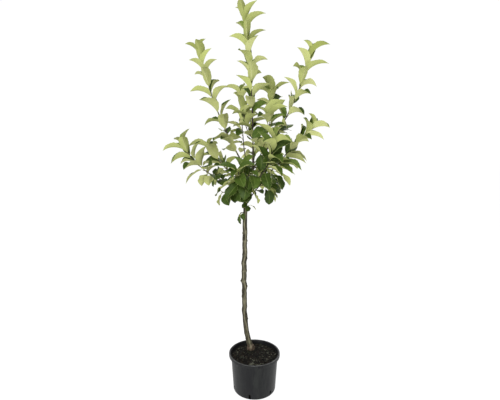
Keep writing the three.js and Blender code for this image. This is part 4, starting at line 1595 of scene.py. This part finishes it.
# %% Outlines and measures of a blade
# Each outline is stations along the blade and its half width there.
SLENDER = [(0, 0.04), (0.05, 0.3), (0.13, 0.62), (0.25, 0.9), (0.38, 1.02), (0.5, 0.99), (0.64, 0.82),
           (0.78, 0.55), (0.9, 0.25), (1, 0)]
BROAD = [(0, 0.04), (0.05, 0.4), (0.14, 0.74), (0.27, 0.97), (0.42, 1.03), (0.58, 0.96), (0.72, 0.78),
         (0.84, 0.52), (0.93, 0.25), (1, 0)]
COLUMNS = (-1, -0.84, -0.5, -0.05, 0.05, 0.5, 0.84, 1)
FEW_COLUMNS = (-1, -0.5, -0.07, 0.07, 0.5, 1)
TEETH = 9
TOOTH_DEPTH = 0.12
TOOTH_ROOT = 0.85       # the teeth are cut outside this share of the half width
VEIN_SLANT = 0.5        # how far a side vein runs forward, to the edge
VEIN_SHARE = 0.25       # of the way from one side vein to the next, that is sunk
QUILT = 0.004           # this and the next two are shares of the blade's length
RIB_DEPTH = 0.009
SKIN = 0.0045
RIB_COLUMN = 0.1        # the columns inside this share are the midrib
RIB_WIDTH = 0.04        # and its faces lie inside this share
UPPER, UNDER, RIB_ABOVE, RIB_BELOW = range(4)
print("teeth on each side:", TEETH)

# %% The blade patterns


def blade_pattern(name, shape, stations, columns, teeth):
    """A flat blade, one unit long and half as wide as its outline says, as a Pattern."""
    piece = added(bpy.ops.mesh.primitive_grid_add, name, x_subdivisions=stations,
                  y_subdivisions=len(columns) - 1, size=2)
    places = corners(piece)
    station, column = (places[:, :2].T + 1) / 2
    share = np.array(columns)[np.rint(column * (len(columns) - 1)).astype(int)]
    aside = abs(share)
    outline = np.array([through(shape, t)[0] for t in station])
    tooth = station * teeth % 1
    edge = np.maximum(0, (aside - TOOTH_ROOT) / (1 - TOOTH_ROOT))
    saw = (tooth - 0.5) * np.sin(np.pi * station) ** 0.5 * edge
    quilt = QUILT * (tooth > VEIN_SHARE) * np.clip(aside * 4, 0, 1) * (1 - aside ** 3) * outline
    rib = RIB_DEPTH * (aside < RIB_COLUMN) * (1 - station)
    slant = VEIN_SLANT / teeth * aside * outline
    places[:, 0] = station + slant * np.sin(np.pi * station)
    places[:, 1] = share * outline * (1 + TOOTH_DEPTH * saw)
    places[:, 2] = quilt - rib
    move_corners(piece, places)
    opened(piece)
    bpy.ops.mesh.remove_doubles(threshold=1e-4)
    modified(piece, "SOLIDIFY", thickness=SKIN, offset=0)
    kinds = []
    for face in piece.data.polygons:
        above = face.normal.z > 0.3
        if abs(face.center.y) < RIB_WIDTH * np.interp(face.center.x, *zip(*shape)):
            kinds.append(RIB_ABOVE if above else RIB_BELOW)
        else:
            kinds.append(UPPER if above else UNDER)
    return Pattern(piece, np.array(kinds))


young_blade = blade_pattern("young_blade", SLENDER, TEETH * 2, COLUMNS, TEETH)
old_blade = blade_pattern("old_blade", BROAD, TEETH * 2, COLUMNS, TEETH)
small_blade = blade_pattern("small_blade", SLENDER, 10, FEW_COLUMNS, 5)
print("faces:", len(young_blade.faces), "and", len(small_blade.faces))

# %% [markdown]
# Each copy of the pattern is bent as its leaf says: the midrib arches, the halves fold
# up, and a little twist and a wavy edge make it its own. The fold is eased near the
# midrib, where a real blade is a smooth trough and not a crease. Young blades are drawn
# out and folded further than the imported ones, whose few flat faces can't curl.

# %% Bend a blade into place
TROUGH = 2.2
AGES = (0, 0.4, 0.75)
FOLD_MORE = (1.95, 2.1, 1)    # at each of these ages, as are the next two
BROADER = (1.16, 1.06, 0.96)
LONGER = (1.16, 1.16, 1)      # half of the extra length goes to either end
FULL_GROWN = (66, 78)         # a leaf is drawn longer by its length, from none to all of it
FOLD_VARIES = 0.25
WAVE = (1.6, 4.4)             # height of the wavy edge on a young and on an old leaf
WAVE_LEAF = 95                # on a leaf of this length
WAVES = (1.5, 2.5)            # along the blade
TWIST = 42                    # degrees from base to tip, at most either way


def bent_blade(pattern, leaf):
    """The pattern's places on this leaf, in metres."""
    own = Dice(leaf.seed + 31)
    station, share, height = pattern.places.T
    fold_more = np.interp(leaf.age, AGES, FOLD_MORE)
    longer = (np.interp(leaf.age, AGES, LONGER) - 1) * np.interp(leaf.length, FULL_GROWN, (0, 1))
    place, normal = midrib(leaf, station * (1 + longer) - longer / 2)
    twist = math.radians(own.spread(TWIST)) * station[:, None]
    side = leaf.side * np.cos(twist) + normal * np.sin(twist)
    normal = normal * np.cos(twist) - leaf.side * np.sin(twist)
    reach = leaf.width / 2 * share * np.interp(leaf.age, AGES, BROADER)
    eased = np.hypot(reach, TROUGH)
    fold = leaf.fold * fold_more * (1 + FOLD_VARIES * own.spread(1) * np.sin(3 * station))
    waves = own.between(*WAVES)
    phase = 7 * own.roll() + (share > 0) * (1 + own.roll())
    wave = mixed(*WAVE, leaf.age) * leaf.length / WAVE_LEAF * share ** 2
    rise = (eased - TROUGH) * np.sin(fold) + wave * np.sin(2 * np.pi * waves * station + phase)
    skin = normal * np.cos(fold)[:, None] - side * (np.sin(fold) * reach / eased)[:, None]
    place = place + side * (reach * np.cos(fold))[:, None] + normal * rise[:, None]
    return (place + skin * (height * leaf.length)[:, None]) * MM


print("edges wave by", WAVE, "mm")

# %% [markdown]
# ## Leaf colours
#
# On a tree in leaf no two leaves are the same green. Leaves at the tips are yellow
# green, those inside are deep green, and the undersides are pale and downy. The tints
# are dealt out leaf by leaf, by age and chance, as plain base colours; each finish then
# adds its own soft mottling, and the upper skins are smoother than the undersides.

# %% Finishes for leaves
UPPER_TINTS = {
    "upper_fresh": (146, 158, 84),
    "upper_light": (120, 136, 64),
    "upper_mid": (92, 112, 46),
    "upper_deep": (68, 88, 31),
    "upper_dark": (56, 75, 25),
}
UNDER_TINTS = {
    "under_olive": (150, 159, 87),
    "under_sage": (168, 176, 105),
    "under_lime": (177, 185, 112),
    "under_pale": (184, 190, 122),
    "under_cream": (194, 199, 133),
}
RIB_TINTS = {
    "rib_above_light": (156, 166, 92),
    "rib_above_dark": (96, 114, 54),
    "rib_below_pale": (196, 198, 142),
    "rib_below_green": (172, 178, 112),
}
FIRST_UNDER = len(UPPER_TINTS)
FIRST_RIB = FIRST_UNDER + len(UNDER_TINTS)

leaf_finishes = []
for name, tint in UPPER_TINTS.items():
    lighter = patches(toned(tint, 1.14, more=6), 38, 0.5, 0.75)
    darker = patches(toned(tint, 0.82), 95, 0.48, 0.72)
    leaf_finishes.append(finish(name, tint, [lighter, darker], rough=(0.48, 0.62),
                                grain_of=(900, 0.00025), shine=0.15))
for name, tint in UNDER_TINTS.items():
    warmer = patches(toned(tint, 1.03, 1.02, 1.08), 30, 0.4, 0.7)
    darker = patches(toned(tint, 0.93), 70, 0.5, 0.8)
    leaf_finishes.append(finish(name, tint, [warmer, darker], rough=(0.82, 0.92),
                                grain_of=(1400, 0.0001), shine=0.1))
for name, tint in RIB_TINTS.items():
    darker = patches(toned(tint, 0.86), 200, 0.45, 0.7)
    leaf_finishes.append(finish(name, tint, [darker], rough=(0.6, 0.75), shine=0.15))
print("leaf finishes:", len(leaf_finishes))

# %% Deal out the tints
# Where in the list of tints a just open leaf is, how much further an old one is, and
# how far chance goes either way.
UPPER_DEAL = (0.4, 5.4, 0.9)
# Leaves of a middle age sit partway into the crown, where shade falls, so their undersides are dealt the
# palest tints: painted light against that shade.
UNDER_DEAL = (0.9, 2.2, 1.5)    # the same, but leaves of a middle age go furthest


def dealt_tint(tints, deal, share, chance):
    """The number of the tint that a leaf is dealt."""
    start, further, either_way = deal
    return round(np.clip(start + further * share + chance.spread(either_way), 0, len(tints) - 1))


def tints_of(leaf):
    """Finish numbers for a leaf's upper skin, underside and midrib, above and below."""
    chance = Dice(leaf.seed + 7)
    upper = dealt_tint(UPPER_TINTS, UPPER_DEAL, leaf.age, chance)
    # A middle age gives the palest underside, as painted light inside the crown.
    under = dealt_tint(UNDER_TINTS, UNDER_DEAL, math.sin(math.pi * leaf.age), chance)
    return [upper, FIRST_UNDER + under, FIRST_RIB + (upper > 1), FIRST_RIB + 2 + (under < 2)]


print("tints of one leaf:", tints_of(leaves_of["leader"][0]))

# %% [markdown]
# ## Shoots, stalks and buds
#
# The wood grows on through the leaves to each tip, with a slight swelling at every
# leaf. A stalk leaves the wood there, curves, and runs into the midrib, and in the
# angle above it sits next year's bud. Three leaves at each tip have only begun to
# open; they carry the rule on to finer growth, inside the reach of the last leaf.

# %% Opening leaves at the tips
OPENING = [(1, 0.2), (5, 0.27), (10, 0.34)]   # millimetres back from the tip, and size
OPENING_AGE = 0.5       # limbs whose last leaf is younger than this still grow
OPENING_TURN = 50
OPENING_FOLD = math.radians(52)
OPENING_ARCH = math.radians(25)


def opening_leaves(each):
    """The small upright leaves at a limb's tip."""
    leaves = []
    for i, (back, size) in enumerate(OPENING):
        distance = each.length - back
        turn = math.radians(i * GOLDEN_ANGLE + OPENING_TURN)
        leaf = leaf_at(each.seed * 10 + i, *along(each.path, distance), turn, 0, size, each)
        leaf.fold, leaf.arch = OPENING_FOLD, OPENING_ARCH
        leaf.limb, leaf.distance = each.name, distance
        leaves.append(leaf)
    return leaves


opening_of = {mass: [] for mass in MASSES}
for each in LIMBS.values():
    if each.age[1] < OPENING_AGE:
        opening_of[each.mass] += opening_leaves(each)
print("opening leaves:", total(opening_of))

# %% Wood of a limb
WOOD_SPACING = 4
WOOD_TIP = 1.2          # radius
WOOD_FOOT = (1.5, 0.0036)   # radius, and how much thicker for each millimetre of length
COLLAR = (0.5, 12)      # how much thicker at the foot, and over what reach
NODE_SWELL = 0.55
NODE_REACH = 3.2
NODE_SHIFT = (0.5, 9)   # the wood bends towards each leaf: how far, and over what reach
SCAR_STEP = 45          # between the rings of old buds
SCAR_SWELL = (0.3, 2.5)
SCAR_SHIFT = (0.9, 22)


def limb_radius(each, distance):
    """An even taper, with a collar where the limb leaves what carries it."""
    foot = WOOD_FOOT[0] + WOOD_FOOT[1] * each.length
    collar = 1 + COLLAR[0] * np.exp(-distance / COLLAR[1])
    return mixed(foot, WOOD_TIP, distance / each.length) * collar


def wood_strand(each, leaves):
    """A limb's line and radii, swollen at its leaves and a little crooked between them."""
    line = lined_up(each.path, WOOD_SPACING)
    distances = np.append(0, np.cumsum(np.linalg.norm(np.diff(line, axis=0), axis=1)))
    distances *= each.length / distances[-1]
    radii = limb_radius(each, distances)
    for leaf in leaves:
        if leaf.limb == each.name:
            from_leaf = distances - leaf.distance
            radii = radii + NODE_SWELL * bell(from_leaf, NODE_REACH)
            line += leaf.outward * NODE_SHIFT[0] * bell(from_leaf, NODE_SHIFT[1])[:, None]
    bends = Dice(each.seed + 3)
    for _ in range(int(each.length / SCAR_STEP)):
        from_scar = distances - bends.roll() * each.length
        radii = radii + SCAR_SWELL[0] * bell(from_scar, SCAR_SWELL[1])
        line += each.across * bends.spread(SCAR_SHIFT[0]) * bell(from_scar, SCAR_SHIFT[1])[:, None]
    return line, radii, 0


print("a shoot's tip is", 2 * WOOD_TIP, "mm thick")

# %% Stalks of leaves
STALK_SPACING = 3
STALK_LEAN = 0.6        # how far a stalk leans outwards where it starts
STALK_BEND = (0.35, 0.3)    # it is straight for these shares of its length at its ends
STALK_INTO = 0.03       # and runs on into this share of the midrib
STALK_STATIONS = (0, 0.3, 0.7, 1)
STALK_RADII = (1.5, 1.0, 0.95, 1.0)
FULL_STALK = 80         # a leaf shorter than this has a thinner stalk


def stalk_strand(leaf):
    """A leaf's stalk, from inside the wood to the start of the midrib."""
    span = np.linalg.norm(leaf.base - leaf.root)
    start = leaf.root + unit(leaf.petiole_way + STALK_LEAN * leaf.outward) * span * STALK_BEND[0]
    end = leaf.base - leaf.ahead * span * STALK_BEND[1]
    into = leaf.base + leaf.ahead * STALK_INTO * leaf.length
    line = lined_up([leaf.root, start, end, into], STALK_SPACING)
    radii = np.interp(np.linspace(0, 1, len(line)), STALK_STATIONS, STALK_RADII)
    return line, radii * math.sqrt(min(1, leaf.length / FULL_STALK)), 1


print("stalks at their foot:", 2 * STALK_RADII[0], "mm thick")

# %% Shoots of each mass
SPUR_RADIUS = 1.6

stalk_green = finish("stalk_green", (150, 160, 84), [patches((142, 112, 78), 120, 0.5, 0.7)],
                     rough=(0.55, 0.7))
for mass in MASSES:
    leaves = leaves_of[mass] + opening_of[mass]
    strands = [wood_strand(each, leaves) for each in LIMBS.values() if each.mass == mass]
    strands += [stalk_strand(leaf) for leaf in leaves]
    strands += [(lined_up(spur, STALK_SPACING), SPUR_RADIUS, 0) for spur in spurs_of[mass]]
    shoot = tubes(f"shoot_{mass}", strands, [shoot_bark, stalk_green], 3)
    smoothed(shoot)
    bough = f"bough_{mass}"
    belongs(shoot, "shoot_bark", *([bough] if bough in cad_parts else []))

# %% [markdown]
# A bud is a ball pinched to a point and bent a little towards the wood. It could be a
# cone, but a cone's sharp foot shows where it meets the shoot.

# %% Buds
BUD_SIZE = (3.6, 5.2)    # by the tip and by the foot
BUD_GIRTH = (0.62, 1.25) # how much of a ball's girth it keeps, and how blunt it is
BUD_BEND = 0.12
BUD_WAY = (0.9, 0.5)     # how far it leans along the wood and outwards
BUD_SUNK = 0.7           # its foot is this share of the wood's radius out
BUD_RAISED = 2.6


def bud():
    """A pointed bud, one unit long, standing on its base."""
    piece = added(bpy.ops.mesh.primitive_uv_sphere_add, "bud", segments=10, ring_count=8, radius=0.5)
    places = corners(piece)
    up = places[:, 2] + 0.5
    places[:, :2] *= (BUD_GIRTH[0] * (BUD_GIRTH[1] - up ** 2))[:, None]
    places[:, 0] += BUD_BEND * up ** 2
    places[:, 2] = up
    move_corners(piece, places)
    return Pattern(piece)


bud_shape = bud()
bud_scale = finish("bud_scale", (96, 74, 58), [patches((132, 118, 88), 300, 0.45, 0.65)],
                   rough=(0.6, 0.75))
copies = []
for leaf in [leaf for leaves in leaves_of.values() for leaf in leaves if leaf.limb]:
    each = LIMBS[leaf.limb]
    z_way = unit(leaf.way * BUD_WAY[0] + leaf.outward * BUD_WAY[1])
    x_way = unit(np.cross(each.across + 0.01, z_way))
    axes = np.column_stack([x_way, np.cross(z_way, x_way), z_way])
    foot = leaf.root + leaf.way * BUD_RAISED
    foot = foot + leaf.outward * limb_radius(each, leaf.distance) * BUD_SUNK
    places = bud_shape.places @ axes.T * mixed(*BUD_SIZE, leaf.age) + foot
    copies.append((bud_shape, places * MM, [0]))
buds = joined_mesh("axil_buds", copies, [bud_scale])
smoothed(buds)
belongs(buds, "shoot_bark")

# %% [markdown]
# Each mass of leaves is one joined mesh, so it can be put in another scene on its own.
# Old leaves take the broad pattern, young ones the slender one, and tips the small one.

# %% Leaves of each mass
OLD_BLADE_AGE = 0.5
LEAF_CREASE = 50        # degrees

for mass in MASSES:
    blades = [(old_blade if leaf.age > OLD_BLADE_AGE else young_blade, leaf) for leaf in leaves_of[mass]]
    blades += [(small_blade, leaf) for leaf in opening_of[mass]]
    copies = [(pattern, bent_blade(pattern, leaf), tints_of(leaf)) for pattern, leaf in blades]
    foliage = joined_mesh(f"foliage_{mass}", copies, leaf_finishes)
    smoothed(foliage, LEAF_CREASE)
    belongs(foliage, "foliage", f"leaves_{mass}")

# %% [markdown]
#
# The dressed tree has to fill the imported box. Its leaves may stand a little past it,
# because they are soft. Both boxes are kept and printed.

# %% Compare the boxes
visual_box = [list(corner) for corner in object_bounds()]
for label, box in (("cad", cad_box), ("visual", visual_box)):
    print(label, [[round(value, 4) for value in corner] for corner in box])
